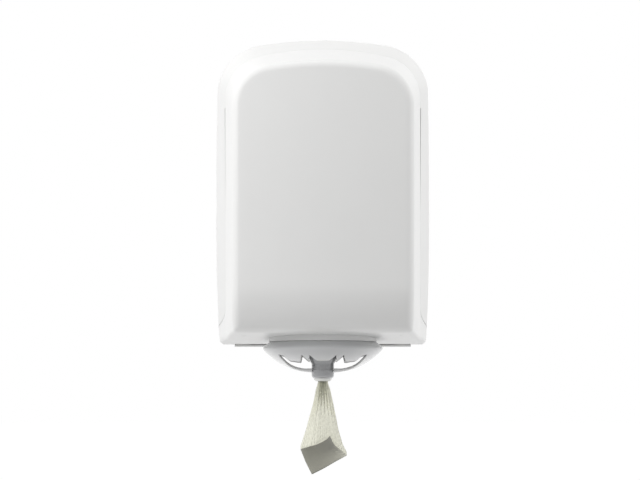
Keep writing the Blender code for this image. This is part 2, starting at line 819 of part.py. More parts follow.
def lip_strips():
    """(name, rows) of the lip's strips: over the arch and down each side below the finger grip."""
    under = WALL + LIP_CLEARANCE
    back_share = 1 - LIP_ROOT / (SEAM_DEPTH - STRAIGHT_DEPTH)
    side_depth = FRONT_DEPTH - PANEL_SAG_TOP - PANEL_SAG_SIDE - 2 * PANEL_EDGE_ROUND - SEAM_DEPTH
    stations = (
        (REAR.toward(SEAM, back_share).inset(WALL / 2), SEAM_DEPTH - LIP_ROOT),
        (SEAM.inset(under), SEAM_DEPTH - SEAM_GAP),
        (SEAM.toward(PANEL, LIP_REACH / side_depth).inset(under), SEAM_DEPTH + LIP_REACH),
    )
    arch_count = Outline.CROWN_STEPS + Outline.CORNER_STEPS + 1
    arch = []
    sides = {-1: [], 1: []}
    steps = 6
    heights = [lerp(GRIP_BOTTOM, SWEEP_TOP, i / steps) for i in range(steps + 1)]
    for outline, depth in stations:
        right = outline.half()[:arch_count]
        points = [(-x, z) for x, z in reversed(right[1:])] + right
        arch.append([(x, -depth, z) for x, z in points])
        for side in sides:
            sides[side].append([(side * outline.side_x(z), -depth, z) for z in heights])
    return (("arch", arch), ("left", sides[-1]), ("right", sides[1]))


def add_inner_lip(shop, housing):
    """The lip that stands behind the seam, left out where the fingers grip and below the sweep."""
    for name, rows in lip_strips():
        bm = bmesh.new()
        verts = [[bm.verts.new(point) for point in row] for row in rows]
        for near, far in zip(verts, verts[1:]):
            for i in range(len(near) - 1):
                bm.faces.new((near[i], near[i + 1], far[i + 1], far[i]))
        if name != "left":
            bmesh.ops.reverse_faces(bm, faces=bm.faces)
        lip = as_cutter(add_object(f"lip_{name}", mesh_from(bm, f"lip_{name}"), shop.cutters))
        thicken(lip, LIP_WALL)
        join(housing, lip)


def cut_finger_grips(shop, housing):
    """The housing's edge is drawn back along each side, most at the top, so that fingers reach the cover."""
    half = REAR_HALF_WIDTH + OVERRUN
    front = -SEAM_DEPTH - OVERRUN
    back = -SEAM_DEPTH + SEAM_GAP / 2
    outline = [(front, GRIP_TOP), (back + GRIP_WIDTH, GRIP_TOP), (back, GRIP_BOTTOM), (front, GRIP_BOTTOM)]
    for side, name in SIDES:
        inner, outer = sorted((side * (SEAM_HALF_WIDTH - SEAM_CORNER_RADIUS), side * half))
        cut(housing, flat_solid(shop, f"grip_gap_{name}", outline, inner, outer, "YZ"))


def make_cover(shop):
    cover = add_object("front_cover", cover_skin(), shop.parts, shop.cover)
    thicken(cover, WALL)
    cut_rear_edge(shop, cover)
    add_knuckles(shop, cover)
    add_bowl_collar(shop, cover)
    add_shelf_bosses(shop, cover)
    add_hook_bosses(shop, cover)
    return cover


def cut_rear_edge(shop, cover):
    """The cover starts at the seam, follows the sweep back, and rounds the hinge."""
    half = REAR_HALF_WIDTH + OVERRUN
    high = REAR_TOP + OVERRUN
    low = UNDERSIDE_REAR - OVERRUN
    outline = [(OVERRUN, high), (-SEAM_DEPTH - SEAM_GAP / 2, high)]
    outline += sweep_curve(-SEAM_GAP / 2, 0.0)
    steps = 10
    for i in range(1, steps + 1):
        angle = math.pi / 2 - math.pi * i / steps
        y = -HINGE_DEPTH + HINGE_CORNER_RADIUS * math.cos(angle)
        outline.append((y, HINGE_HEIGHT + HINGE_CORNER_RADIUS * math.sin(angle)))
    outline += [(-HINGE_DEPTH, low), (OVERRUN, low)]
    cut(cover, flat_solid(shop, "rear_region", outline, -half, half, "YZ"))
    hinge_bay = block(
        shop,
        "hinge_bay",
        (-BACK_HALF_WIDTH - 2 * GAP, -HINGE_DEPTH - UNDERSIDE_SETBACK, low),
        (BACK_HALF_WIDTH + 2 * GAP, OVERRUN, SWEEP_END),
    )
    cut(cover, hinge_bay)


def add_knuckles(shop, cover):
    axis = (-HINGE_DEPTH, HINGE_HEIGHT)
    skin_x = REAR.side_x(HINGE_HEIGHT) - WALL
    web_low = underside_at(HINGE_DEPTH + KNUCKLE_RADIUS) + WALL / 2
    start = LUG_INNER + LUG_WIDTH + HINGE_SIDE_GAP
    end = skin_x - 2 * GAP
    for side, name in SIDES:
        knuckle = rod(shop, f"knuckle_{name}", (side * start, *axis), (side * end, *axis), KNUCKLE_RADIUS)
        web_ends = sorted((side * (BACK_HALF_WIDTH + 2 * GAP), side * (skin_x + BED)))
        web = block(
            shop,
            f"knuckle_web_{name}",
            (web_ends[0], -HINGE_DEPTH - KNUCKLE_RADIUS, web_low),
            (web_ends[1], -HINGE_DEPTH, HINGE_HEIGHT),
        )
        join(cover, web, knuckle)
        hole_start = (side * (start - OVERRUN), *axis)
        hole_end = (side * (start + KNUCKLE_DEPTH), *axis)
        cut(cover, rod(shop, f"knuckle_hole_{name}", hole_start, hole_end, PIN_RADIUS + GAP))


def bored_boss(shop, cover, name, ends, radius, bore):
    """Joins an upright boss to the cover and bores it for a screw. Ends and bore are (low, high) points."""
    boss = rod(shop, f"{name}_boss", *ends, radius, segments=12)
    join(cover, boss)
    cut(cover, rod(shop, f"{name}_pilot", *bore, SCREW_RADIUS + GAP, segments=10))
    return boss


def add_bowl_collar(shop, cover):
    """The ring under the cover that the bowl is screwed to, and the mouth that the sheet comes through."""
    place = bowl_place()
    seat = BOWL_TOP + GAP
    top = BOWL_TOP + 2 * OVERRUN
    inner = BOWL_TOP_RADIUS - COLLAR_WALL
    section = [(BOWL_TOP_RADIUS, top), (BOWL_TOP_RADIUS, seat), (inner, seat), (inner, top)]
    collar = turned(shop, "collar", section, 48, place)
    half = REAR_HALF_WIDTH + OVERRUN
    trim = flat_solid(shop, "collar_trim", trim_above_underside(), -half, half, "YZ")
    cut(collar, trim)
    join(cover, collar)
    bore_top = BOWL_TOP - BOWL_RING_THICKNESS + SCREW_LENGTH + BED
    for i, (x, y) in enumerate(around(4, BOWL_SCREW_CIRCLE)):
        ends = (place @ Vector((x, y, seat)), place @ Vector((x, y, top)))
        bore = (place @ Vector((x, y, BOWL_TOP - OVERRUN)), place @ Vector((x, y, bore_top)))
        boss = bored_boss(shop, cover, f"collar_{i + 1}", ends, COLLAR_BOSS_RADIUS, bore)
        cut(boss, trim)
    mouth_top = place @ Vector((0.0, 0.0, top + OVERRUN))
    cut(cover, rod(shop, "underside_mouth", bowl_centre(), mouth_top, BOWL_RING_INNER, 48))


def shelf_boss_places():
    """(x, y) of the four bosses that the shelf is screwed to."""
    depths = (ROLL_DEPTH - SHELF_BOSS_SPREAD, ROLL_DEPTH + SHELF_BOSS_SPREAD)
    return [(side * SHELF_BOSS_X, -depth) for side, _ in SIDES for depth in depths]


def add_shelf_bosses(shop, cover):
    top = SHELF_TOP - SHELF_THICKNESS - GAP
    for i, (x, y) in enumerate(shelf_boss_places()):
        ends = ((x, y, underside_at(-y) + WALL / 2), (x, y, top))
        bore = ((x, y, SHELF_TOP - SCREW_LENGTH - BED), (x, y, top + OVERRUN))
        bored_boss(shop, cover, f"shelf_{i + 1}", ends, SHELF_BOSS_RADIUS, bore)


def add_hook_bosses(shop, cover):
    x = HOOK_LEFT + HOOK_WIDTH / 2
    top = hook_top()
    for tag, depth in hook_screw_depths():
        ends = ((x, -depth, top + GAP), (x, -depth, cover_top_at(depth) - WALL / 2))
        bore_top = top - HOOK_THICKNESS + hook_screw_length(depth) + GAP
        bore = ((x, -depth, top - OVERRUN), (x, -depth, bore_top))
        bored_boss(shop, cover, f"hook_{tag}", ends, HOOK_BOSS_RADIUS, bore)


def trim_above_underside():
    """(y, z) outline of all that lies above the middle of the underside's wall."""
    rear = UNDERSIDE_REAR + WALL / 2
    front = UNDERSIDE_FRONT + WALL / 2
    slope = (front - rear) / UNDERSIDE_FRONT_DEPTH
    reach = UNDERSIDE_FRONT_DEPTH + OVERRUN
    return [
        (0.0, rear),
        (-reach, rear + slope * reach),
        (-reach, SHELF_TOP + 2 * OVERRUN),
        (0.0, SHELF_TOP + 2 * OVERRUN),
    ]


def cover_top_at(depth):
    """Height of the cover's outer top at a depth, between the seam and the panel's edge."""
    edge_depth = front_depth(0.0, PANEL_TOP) - PANEL_EDGE_ROUND
    return lerp(SEAM_TOP, PANEL_TOP, (depth - SEAM_DEPTH) / (edge_depth - SEAM_DEPTH))


def hook_top():
    """Height of the strike hook's arm, just under its bosses."""
    return SEAM_TOP - WALL - HOOK_DROP


def hook_screw_depths():
    front = HOOK_FRONT_DEPTH - 2 * SCREW_HEAD_RADIUS
    rear = SEAM_DEPTH + LIP_REACH + HOOK_BOSS_RADIUS + 2 * LIP_CLEARANCE
    return (("front", front), ("rear", rear))


def hook_screw_length(depth):
    """A screw that reaches most of the way up its boss."""
    return HOOK_THICKNESS + cover_top_at(depth) - WALL - hook_top()


def make_hook(shop):
    top = hook_top()
    rear = LOCK_DEPTH - CAM_WIDTH / 2 - HOOK_UPSTAND_GAP
    left, right = HOOK_LEFT, HOOK_LEFT + HOOK_WIDTH
    hook = block(
        shop,
        "strike_hook",
        (left, -HOOK_FRONT_DEPTH, top - HOOK_THICKNESS),
        (right, -rear + HOOK_THICKNESS, top),
        shop.housing,
    )
    upstand = block(
        shop,
        "hook_upstand",
        (left, -rear, top - HOOK_THICKNESS / 2),
        (right, -rear + HOOK_THICKNESS, cam_bottom() + CAM_THICKNESS - GAP),
    )
    join(hook, upstand)
    screws = []
    x = HOOK_LEFT + HOOK_WIDTH / 2
    for tag, depth in hook_screw_depths():
        hole = rod(
            shop,
            f"hook_hole_{tag}",
            (x, -depth, top - OVERRUN),
            (x, -depth, top + OVERRUN),
            SCREW_RADIUS + GAP,
            segments=10,
        )
        cut(hook, hole)
        under = Matrix.Translation((x, -depth, top - HOOK_THICKNESS - GAP))
        screws.append(
            small_screw(shop, f"strike_screw_{tag}", flipped(under), hook_screw_length(depth))
        )
    return [hook, *screws]


def cam_bottom():
    """Height of the lever's lower face."""
    return REAR_TOP - LOCK_BUSH_LENGTH - GAP - CAM_THICKNESS


def make_lock(shop):
    """The bush and its nut stay still, the barrel, lever and screw turn."""
    bush_radius = LOCK_RADIUS + GAP + LOCK_BUSH_WALL
    flange_radius = bush_radius + LOCK_FLANGE_REACH
    nut_radius = bush_radius + LOCK_NUT_REACH
    seat = REAR_TOP + GAP
    bush_bottom = REAR_TOP - LOCK_BUSH_LENGTH
    at_lock = Matrix.Translation((0.0, -LOCK_DEPTH, 0.0))
    bush = turned(
        shop,
        "lock_bush",
        [
            (LOCK_RADIUS + GAP, seat + LOCK_FLANGE_HEIGHT),
            (flange_radius, seat + LOCK_FLANGE_HEIGHT),
            (flange_radius, seat),
            (bush_radius, seat),
            (bush_radius, bush_bottom),
            (LOCK_RADIUS + GAP, bush_bottom),
        ],
        32,
        at_lock,
        shop.housing,
    )
    nut_top = REAR_TOP - WALL - GAP - nut_radius**2 / (2 * REAR_CROWN_RADIUS)
    nut_low = nut_top - LOCK_NUT_HEIGHT
    on_axis = (0.0, -LOCK_DEPTH)
    nut = rod(shop, "lock_nut", (*on_axis, nut_low), (*on_axis, nut_top), nut_radius, 6, shop.shelf)
    nut_hole = rod(
        shop,
        "nut_hole",
        (*on_axis, nut_low - OVERRUN),
        (*on_axis, nut_top + OVERRUN),
        bush_radius + GAP,
        segments=32,
    )
    cut(nut, nut_hole)
    barrel_top = seat + LOCK_FLANGE_HEIGHT
    cam_low = cam_bottom()
    barrel = turned_open(
        shop,
        "lock_barrel",
        [
            (0.0, barrel_top - KEY_RECESS_DEPTH),
            (KEY_RECESS_RADIUS, barrel_top - KEY_RECESS_DEPTH),
            (KEY_RECESS_RADIUS, barrel_top),
            (LOCK_RADIUS, barrel_top),
            (LOCK_RADIUS, cam_low + CAM_THICKNESS + GAP),
            (LOCK_SHANK_RADIUS, cam_low + CAM_THICKNESS + GAP),
            (LOCK_SHANK_RADIUS, cam_low + GAP),
            (0.0, cam_low + GAP),
        ],
        28,
        at_lock,
        shop.nozzle,
    )
    slot = block(
        shop,
        "key_slot",
        (-KEY_SLOT_LENGTH / 2, -LOCK_DEPTH - KEY_SLOT_WIDTH / 2, barrel_top - KEY_SLOT_DEPTH),
        (KEY_SLOT_LENGTH / 2, -LOCK_DEPTH + KEY_SLOT_WIDTH / 2, barrel_top + OVERRUN),
    )
    cut(barrel, slot)
    tap = rod(
        shop,
        "barrel_tap",
        (0.0, -LOCK_DEPTH, cam_low - OVERRUN),
        (0.0, -LOCK_DEPTH, cam_low + CAM_THICKNESS + KEY_RECESS_DEPTH),
        SCREW_RADIUS + GAP,
        segments=10,
    )
    cut(barrel, tap)
    half = CAM_WIDTH / 2
    tip = LOCK_DEPTH + CAM_LENGTH - half
    steps = 8
    turns = [math.pi * i / steps for i in range(steps + 1)]
    outline = [(half * math.cos(turn), -tip - half * math.sin(turn)) for turn in turns]
    outline += [(-half * math.cos(turn), -LOCK_DEPTH + half * math.sin(turn)) for turn in turns]
    cam = flat_solid(
        shop, "lock_cam", outline, cam_low, cam_low + CAM_THICKNESS, "XY", material=shop.steel
    )
    cam_hole = rod(
        shop,
        "cam_hole",
        (0.0, -LOCK_DEPTH, cam_low - OVERRUN),
        (0.0, -LOCK_DEPTH, cam_low + OVERRUN),
        LOCK_SHANK_RADIUS + GAP,
        segments=28,
    )
    cut(cam, cam_hole)
    under = Matrix.Translation((0.0, -LOCK_DEPTH, cam_low - GAP))
    screw = small_screw(
        shop,
        "lock_cam_screw",
        flipped(under),
        CAM_THICKNESS + KEY_RECESS_DEPTH - BED,
        CAM_SCREW_HEAD_RADIUS,
    )
    return [bush, nut], [barrel, cam, screw]


def make_hinge_pins(shop):
    pins = []
    inner = LUG_INNER - GAP
    length = GAP + LUG_WIDTH + HINGE_SIDE_GAP + KNUCKLE_DEPTH - BED
    profile = [
        (0.0, PIN_HEAD_LENGTH),
        (PIN_HEAD_RADIUS * HEAD_CROWN_SHARE, PIN_HEAD_LENGTH),
        (PIN_HEAD_RADIUS, PIN_HEAD_LENGTH * HEAD_EDGE_SHARE),
        (PIN_HEAD_RADIUS, 0.0),
        (PIN_RADIUS, 0.0),
        (PIN_RADIUS, -length),
        (0.0, -length),
    ]
    for side, name in SIDES:
        spot = Matrix.Translation((side * inner, -HINGE_DEPTH, HINGE_HEIGHT))
        turn = Matrix.Rotation(-side * math.pi / 2, 4, "Y")
        pins.append(turned_open(shop, f"hinge_pin_{name}", profile, 20, spot @ turn))
    return pins


def rounded_rectangle(left, right, front, rear, corner, steps=6):
    """(x, y) points of a rectangle with round corners."""
    points = []
    centres = (
        (right - corner, rear - corner, 0.0),
        (left + corner, rear - corner, math.pi / 2),
        (left + corner, front + corner, math.pi),
        (right - corner, front + corner, 3 * math.pi / 2),
    )
    for cx, cy, start in centres:
        for i in range(steps + 1):
            angle = start + math.pi / 2 * i / steps
            points.append((cx + corner * math.cos(angle), cy + corner * math.sin(angle)))
    return points


def make_shelf(shop):
    bottom = SHELF_TOP - SHELF_THICKNESS
    outline = rounded_rectangle(
        -SHELF_HALF_WIDTH, SHELF_HALF_WIDTH, -SHELF_FRONT_DEPTH, -SHELF_REAR_DEPTH, SHELF_CORNER
    )
    shelf = flat_solid(shop, "roll_shelf", outline, bottom, SHELF_TOP, "XY", material=shop.shelf)
    throat = rod(
        shop,
        "shelf_throat",
        (0.0, -ROLL_DEPTH, bottom - SHELF_THROAT_DROP),
        (0.0, -ROLL_DEPTH, bottom + BED),
        SHELF_HOLE_RADIUS + SHELF_THROAT_WALL,
        segments=40,
    )
    hole = rod(
        shop,
        "shelf_hole",
        (0.0, -ROLL_DEPTH, bottom - SHELF_THROAT_DROP - OVERRUN),
        (0.0, -ROLL_DEPTH, SHELF_TOP + OVERRUN),
        SHELF_HOLE_RADIUS,
        segments=40,
    )
    join(shelf, throat)
    cut(shelf, hole)
    screws = []
    for i, (x, y) in enumerate(shelf_boss_places()):
        start, end = (x, y, bottom - OVERRUN), (x, y, SHELF_TOP + OVERRUN)
        cut(shelf, rod(shop, f"shelf_screw_hole_{i + 1}", start, end, SCREW_RADIUS + GAP, segments=10))
        place = Matrix.Translation((x, y, SHELF_TOP + GAP))
        screws.append(small_screw(shop, f"shelf_screw_{i + 1}", place))
    return [shelf, *screws]


def bowl_height(radius):
    """Height of the bowl's outer surface at a radius, below its widest ring."""
    return -BOWL_DROP * (1 - (radius / BOWL_RADIUS) ** BOWL_POWER)


def bowl_profile():
    """(radius, height) points of the bowl's wall: ring, shoulder and dome outside, then back up inside."""
    shares = (0.93, 0.83, 0.70, 0.54, 0.36)
    outer = [(BOWL_RADIUS * share, bowl_height(BOWL_RADIUS * share)) for share in shares]
    inner_rim = BOWL_RADIUS - BOWL_SHOULDER_WALL
    inner = [(radius, height + BOWL_WALL_DROP) for radius, height in reversed(outer[1:])]
    bottom = bowl_height(HUB_RADIUS)
    groove = HUB_RADIUS + HUB_GROOVE_DEPTH
    low = bottom + HUB_GROOVE_LOW
    ring_low = BOWL_TOP - BOWL_RING_THICKNESS
    return [
        (BOWL_RING_INNER, BOWL_TOP),
        (BOWL_TOP_RADIUS, BOWL_TOP),
        (BOWL_RADIUS, 0.0),
        *outer,
        (HUB_RADIUS, bottom),
        (HUB_RADIUS, low),
        (groove, low),
        (groove, low + HUB_GROOVE_HEIGHT),
        (HUB_RADIUS, low + HUB_GROOVE_HEIGHT),
        (HUB_RADIUS, bottom + BOWL_WALL_DROP),
        *inner,
        (inner_rim - BOWL_SHOULDER_WALL / 2, 0.0),
        (BOWL_TOP_RADIUS - BOWL_SHOULDER_WALL, ring_low),
        (BOWL_RING_INNER, ring_low),
    ]


# Half of a window in plan, as shares of the bowl's radius: tongue, two teeth, horn, root of the arm
WINDOW_HALF_SHARES = (
    (0.103, 0.735),
    (0.212, 0.829),
    (0.221, 0.697),
    (0.337, 0.791),
    (0.359, 0.616),
    (0.447, 0.578),
    (0.546, 0.521),
    (0.638, 0.565),
    (0.710, 0.521),
    (0.691, 0.465),
    (0.621, 0.377),
    (0.555, 0.276),
    (0.508, 0.205),
    (0.440, 0.145),
)


def window_outline(toward):
    """(x, y) points of a window, in front of the nozzle's two arms (-1) or behind them (1)."""
    half = [(x * BOWL_RADIUS, y * BOWL_RADIUS) for x, y in WINDOW_HALF_SHARES]
    half.append((half[-1][0] - ARM_FILLET, ARM_HALF_WIDTH))
    right = [(x, toward * y) for x, y in half]
    left = [(-x, y) for x, y in reversed(right)]
    return right + left


def make_bowl(shop, bowl_frame):
    place = bowl_place()
    bowl = turned(shop, "dispensing_bowl", bowl_profile(), 40, place, shop.bowl)
    for toward, name in ((-1, "front"), (1, "rear")):
        window = flat_solid(
            shop,
            f"window_{name}",
            window_outline(toward),
            -BOWL_DROP - OVERRUN,
            0.0,
            "XY",
            place,
        )
        cut(bowl, window)
    screws = []
    ring_low = BOWL_TOP - BOWL_RING_THICKNESS
    for i, (x, y) in enumerate(around(4, BOWL_SCREW_CIRCLE)):
        hole = rod(
            shop,
            f"ring_hole_{i + 1}",
            place @ Vector((x, y, 0.0)),
            place @ Vector((x, y, BOWL_TOP + OVERRUN)),
            SCREW_RADIUS + GAP,
            segments=10,
        )
        cut(bowl, hole)
        under = place @ Matrix.Translation((x, y, ring_low - GAP))
        screws.append(small_screw(shop, f"bowl_screw_{i + 1}", flipped(under), SCREW_LENGTH - BED))
    hang_on(bowl_frame, bowl, *screws)
    return [bowl, *screws]


def make_nozzle(shop):
    place = bowl_place()
    inner = NOZZLE_RADIUS - NOZZLE_WALL
    floor_hole = INSERT_LIP_RADIUS + GAP
    bead_low = bowl_height(HUB_RADIUS) + HUB_GROOVE_LOW + GAP
    bead_high = bead_low + HUB_GROOVE_HEIGHT - 2 * GAP
    bead = NOZZLE_RADIUS + NOZZLE_BEAD
    profile = [
        (NOZZLE_FUNNEL_RADIUS - NOZZLE_WALL, -NOZZLE_TOP),
        (NOZZLE_FUNNEL_RADIUS, -NOZZLE_TOP),
        (NOZZLE_FUNNEL_RADIUS, -NOZZLE_FLARE_TOP),
        (NOZZLE_RADIUS, -NOZZLE_FLARE_BOTTOM),
        (NOZZLE_RADIUS, bead_high),
        (bead, bead_high),
        (bead, bead_low),
        (NOZZLE_RADIUS, bead_low),
    ]
    steps = 4
    for i in range(steps + 1):
        angle = math.pi / 2 * i / steps
        profile.append(
            (
                NOZZLE_RADIUS - NOZZLE_ROUND * (1 - math.cos(angle)),
                -NOZZLE_BOTTOM + NOZZLE_ROUND * (1 - math.sin(angle)),
            )
        )
    profile = [point for point in profile if point[0] > floor_hole]
    profile += [
        (floor_hole, -NOZZLE_BOTTOM),
        (floor_hole, -NOZZLE_BOTTOM + NOZZLE_FLOOR),
        (inner, -NOZZLE_BOTTOM + NOZZLE_FLOOR),
        (inner, -NOZZLE_FLARE_BOTTOM),
        (NOZZLE_FUNNEL_RADIUS - NOZZLE_WALL, -NOZZLE_FLARE_TOP),
    ]
    nozzle = turned(shop, "nozzle", profile, 28, place, shop.nozzle)
    seat = -NOZZLE_BOTTOM + NOZZLE_FLOOR + GAP
    tip = -NOZZLE_BOTTOM - INSERT_LIP_LENGTH
    flange = inner - GAP
    throat_top = tip + INSERT_THROAT_LENGTH
    mouth = flange - INSERT_WALL
    insert = turned(
        shop,
        "nozzle_insert",
        [
            (mouth, seat + INSERT_FLANGE_HEIGHT),
            (flange, seat + INSERT_FLANGE_HEIGHT),
            (flange, seat),
            (INSERT_LIP_RADIUS, seat),
            (INSERT_LIP_RADIUS, tip + INSERT_WALL),
            (INSERT_LIP_RADIUS - INSERT_WALL, tip),
            (INSERT_THROAT_RADIUS, tip),
            (INSERT_THROAT_RADIUS, throat_top),
        ],
        24,
        place,
        shop.insert,
    )
    return [nozzle, insert]


def make_roll(shop):
    low = SHELF_TOP + GAP
    high = low + ROLL_HEIGHT
    profile = [
        (ROLL_BORE_RADIUS, high - ROLL_EDGE),
        (ROLL_BORE_RADIUS + ROLL_EDGE, high),
        (ROLL_RADIUS - ROLL_EDGE, high),
        (ROLL_RADIUS, high - ROLL_EDGE),
        (ROLL_RADIUS, low + ROLL_EDGE),
        (ROLL_RADIUS - ROLL_EDGE, low),
        (ROLL_BORE_RADIUS + ROLL_EDGE, low),
        (ROLL_BORE_RADIUS, low + ROLL_EDGE),
    ]
    return turned(
        shop, "paper_roll", profile, 48, Matrix.Translation((0.0, -ROLL_DEPTH, 0.0)), shop.paper
    )


def throat_point():
    """The middle of the insert's throat."""
    return bowl_place() @ Vector((0.0, 0.0, -NOZZLE_BOTTOM - INSERT_LIP_LENGTH))


def tail_pivot():
    """The point just below the throat that the hanging paper swings about."""
    return throat_point() - Vector((0.0, 0.0, TAIL_PIVOT_DROP))


def feed_stations():
    """(centre x, centre y, height, half width, half depth) from the roll's core down to the throat."""
    core_x = ROLL_BORE_RADIUS - 2 * FEED_RADIUS
    core_z = SHELF_TOP + 2 * ROLL_BORE_RADIUS
    bend_x = core_x * FEED_BEND_SIDE_SHARE
    bend_z = lerp(core_z, SHELF_TOP, FEED_BEND_DROP_SHARE)
    bowl_x = core_x * FEED_BOWL_SIDE_SHARE
    inside = bowl_place() @ Vector((0.0, 0.0, -NOZZLE_BOTTOM))
    end_z = tail_pivot().z + TAIL_THROAT_HALF_DEPTH + GAP
    return [
        (core_x, -ROLL_DEPTH, core_z, FEED_RADIUS, FEED_RADIUS * FEED_CORE_DEPTH_SHARE),
        (bend_x, -ROLL_DEPTH, bend_z, FEED_RADIUS, FEED_RADIUS * FEED_BEND_DEPTH_SHARE),
        (bowl_x, -ROLL_DEPTH, bowl_centre().z, FEED_RADIUS, FEED_RADIUS),
        (0.0, inside.y, inside.z + 2 * FEED_RADIUS, FEED_RADIUS, FEED_RADIUS),
        (0.0, throat_point().y, end_z, TAIL_THROAT_RADIUS, TAIL_THROAT_RADIUS),
    ]


def make_feed(shop):
    """The gathered sheet from the roll's core, through the bowl and the nozzle."""
    count = 14
    angles = [FULL_TURN * i / count for i in range(count)]
    rings = [
        [(x + half * math.cos(a), y + depth * math.sin(a), z) for a in angles]
        for x, y, z, half, depth in feed_stations()
    ]
    return add_object("paper_feed", loft("paper_feed", rings, closed=True), shop.parts, shop.paper)


def tail_stations():
    """(centre y, height, half width, half depth, fold share) from the top of the bend to the hem."""
    pivot = tail_pivot()
    rows = []
    dome_steps = 3
    for i in range(dome_steps + 1):
        angle = TAIL_DOME_TURN * (1 - i / dome_steps)
        half = TAIL_THROAT_RADIUS * math.cos(angle)
        depth = TAIL_THROAT_HALF_DEPTH * math.cos(angle)
        rows.append((pivot.y, pivot.z + TAIL_THROAT_HALF_DEPTH * math.sin(angle), half, depth, 0.0))
    levels = (
        (pivot.z - TAIL_SWELL_DROP, TAIL_SWELL_HALF_WIDTH, 1),
        (pivot.z - TAIL_HEM_DROP, TAIL_HEM_HALF_WIDTH, 2),
    )
    steps = 4
    for height, half_width, number in levels:
        _, from_z, from_half, from_depth, from_fold = rows[-1]
        for i in range(1, steps + 1):
            share = i / steps
            y = pivot.y - TAIL_LEAN * (number - 1 + share)
            depth = lerp(from_depth, half_width * TAIL_FLAT_SHARE, share)
            fold = lerp(from_fold, TAIL_FOLD_SHARE, share)
            rows.append((y, lerp(from_z, height, share), lerp(from_half, half_width, share), depth, fold))
    return rows


def make_tail(shop):
    """One soft solid: the fanned-out sheet with its main folds, and its turned-up corner."""
    count = 40
    rings = []
    for y, z, half, depth, fold in tail_stations():
        ring = []
        for i in range(count):
            angle = FULL_TURN * i / count
            swell = 1 + fold * math.cos(TAIL_FOLDS * 2 * angle)
            ring.append((half * math.cos(angle), y + depth * swell * math.sin(angle), z))
        rings.append(ring)
    mesh = loft("paper_tail", rings, closed=True)
    tail = add_object("paper_tail", mesh, shop.parts, shop.paper)
    front = tail_pivot().y - 2 * TAIL_LEAN - TAIL_HEM_HALF_WIDTH * TAIL_FLAT_SHARE
    hem = tail_pivot().z - TAIL_HEM_DROP
    outline = [
        (CORNER_LEFT, hem + CORNER_LEFT_RISE),
        (CORNER_PEAK, hem + CORNER_PEAK_RISE),
        (CORNER_NECK, hem + CORNER_NECK_RISE),
        (CORNER_RIGHT, hem + CORNER_RIGHT_RISE),
        (CORNER_TIP, hem + CORNER_TIP_RISE),
    ]
    corner = flat_solid(
        shop, "turned_corner", outline, -front - 2 * CORNER_THICKNESS, -front + CORNER_THICKNESS, "XZ"
    )
    join(tail, corner)
    return tail


def main():
    clear_scene()
    shop = Shop()
    make_rear_housing(shop)
    make_hinge_pins(shop)
    fixed, turning = make_lock(shop)
    lock_axis = make_empty(shop, "lock_axis", (0.0, -LOCK_DEPTH, REAR_TOP))
    hang_on(lock_axis, *turning)
    cover_hinge = make_empty(shop, "cover_hinge", (0.0, -HINGE_DEPTH, HINGE_HEIGHT))
    bowl_frame = make_empty(shop, "bowl_frame", bowl_centre(), -BOWL_TILT)
    hang_on(cover_hinge, bowl_frame)
    cover = make_cover(shop)
    hook = make_hook(shop)
    shelf = make_shelf(shop)
    make_bowl(shop, bowl_frame)
    hang_on(bowl_frame, *make_nozzle(shop))
    roll = make_roll(shop)
    feed = make_feed(shop)
    tail_swing = make_empty(shop, "tail_swing", tail_pivot())
    hang_on(cover_hinge, cover, *hook, *shelf, roll, feed, tail_swing)
    hang_on(tail_swing, make_tail(shop))


main()
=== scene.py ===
"""Looks of the centrefeed roll dispenser: finishes, fine shells, wound roll, hanging sheet and studio.

Metres, +Z up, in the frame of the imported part. The wall is the plane y = 0 and the front faces -Y.
"""

import json
import logging
import math
from dataclasses import dataclass, fields, replace
from enum import Enum
from typing import Callable

import bmesh
import bpy
from bmesh.types import BMEdge, BMesh, BMVert
from bpy.types import Mesh, Node, NodeSocket, NodeTree, Object
from mathutils import Matrix, Vector


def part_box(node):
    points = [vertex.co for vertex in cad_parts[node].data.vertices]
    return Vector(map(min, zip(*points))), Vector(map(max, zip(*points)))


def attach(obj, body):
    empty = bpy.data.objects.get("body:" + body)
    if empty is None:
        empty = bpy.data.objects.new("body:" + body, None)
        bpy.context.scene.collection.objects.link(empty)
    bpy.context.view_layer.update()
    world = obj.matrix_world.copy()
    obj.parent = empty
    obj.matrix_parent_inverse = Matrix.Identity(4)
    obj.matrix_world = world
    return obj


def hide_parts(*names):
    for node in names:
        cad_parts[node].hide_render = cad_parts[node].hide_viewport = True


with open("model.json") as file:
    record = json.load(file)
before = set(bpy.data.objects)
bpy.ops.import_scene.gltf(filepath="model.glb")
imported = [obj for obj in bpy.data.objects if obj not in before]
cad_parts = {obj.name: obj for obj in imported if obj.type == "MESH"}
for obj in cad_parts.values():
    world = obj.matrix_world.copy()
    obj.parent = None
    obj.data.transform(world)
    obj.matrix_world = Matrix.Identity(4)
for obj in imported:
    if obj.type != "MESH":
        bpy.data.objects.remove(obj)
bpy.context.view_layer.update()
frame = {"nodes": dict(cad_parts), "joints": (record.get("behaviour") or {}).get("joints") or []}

LOG = logging.getLogger("dispenser")
MM = 0.001
WELD = 0.01 * MM
FULL_TURN = 2 * math.pi
QUARTER_TURN = math.pi / 2
SHARP_ANGLE = math.radians(32)
MERGE_ANGLE = math.radians(1)
MOST_ROUNDED = 0.45
WHITE = (1.0, 1.0, 1.0, 1.0)
SIDES = ((-1, "left"), (1, "right"))
RING_SIDES, BOSS_SIDES, BORE_SIDES = 96, 24, 20
SCREW_CIRCLE = 64.25 * MM
SCREW_HOLE = 1.7 * MM
BOWL_SCREWS = tuple(f"bowl_screw_{i}" for i in range(1, 5))
SHELF_SCREWS = tuple(f"shelf_screw_{i}" for i in range(1, 5))
HOOK_SCREWS = ("strike_screw_front", "strike_screw_rear")

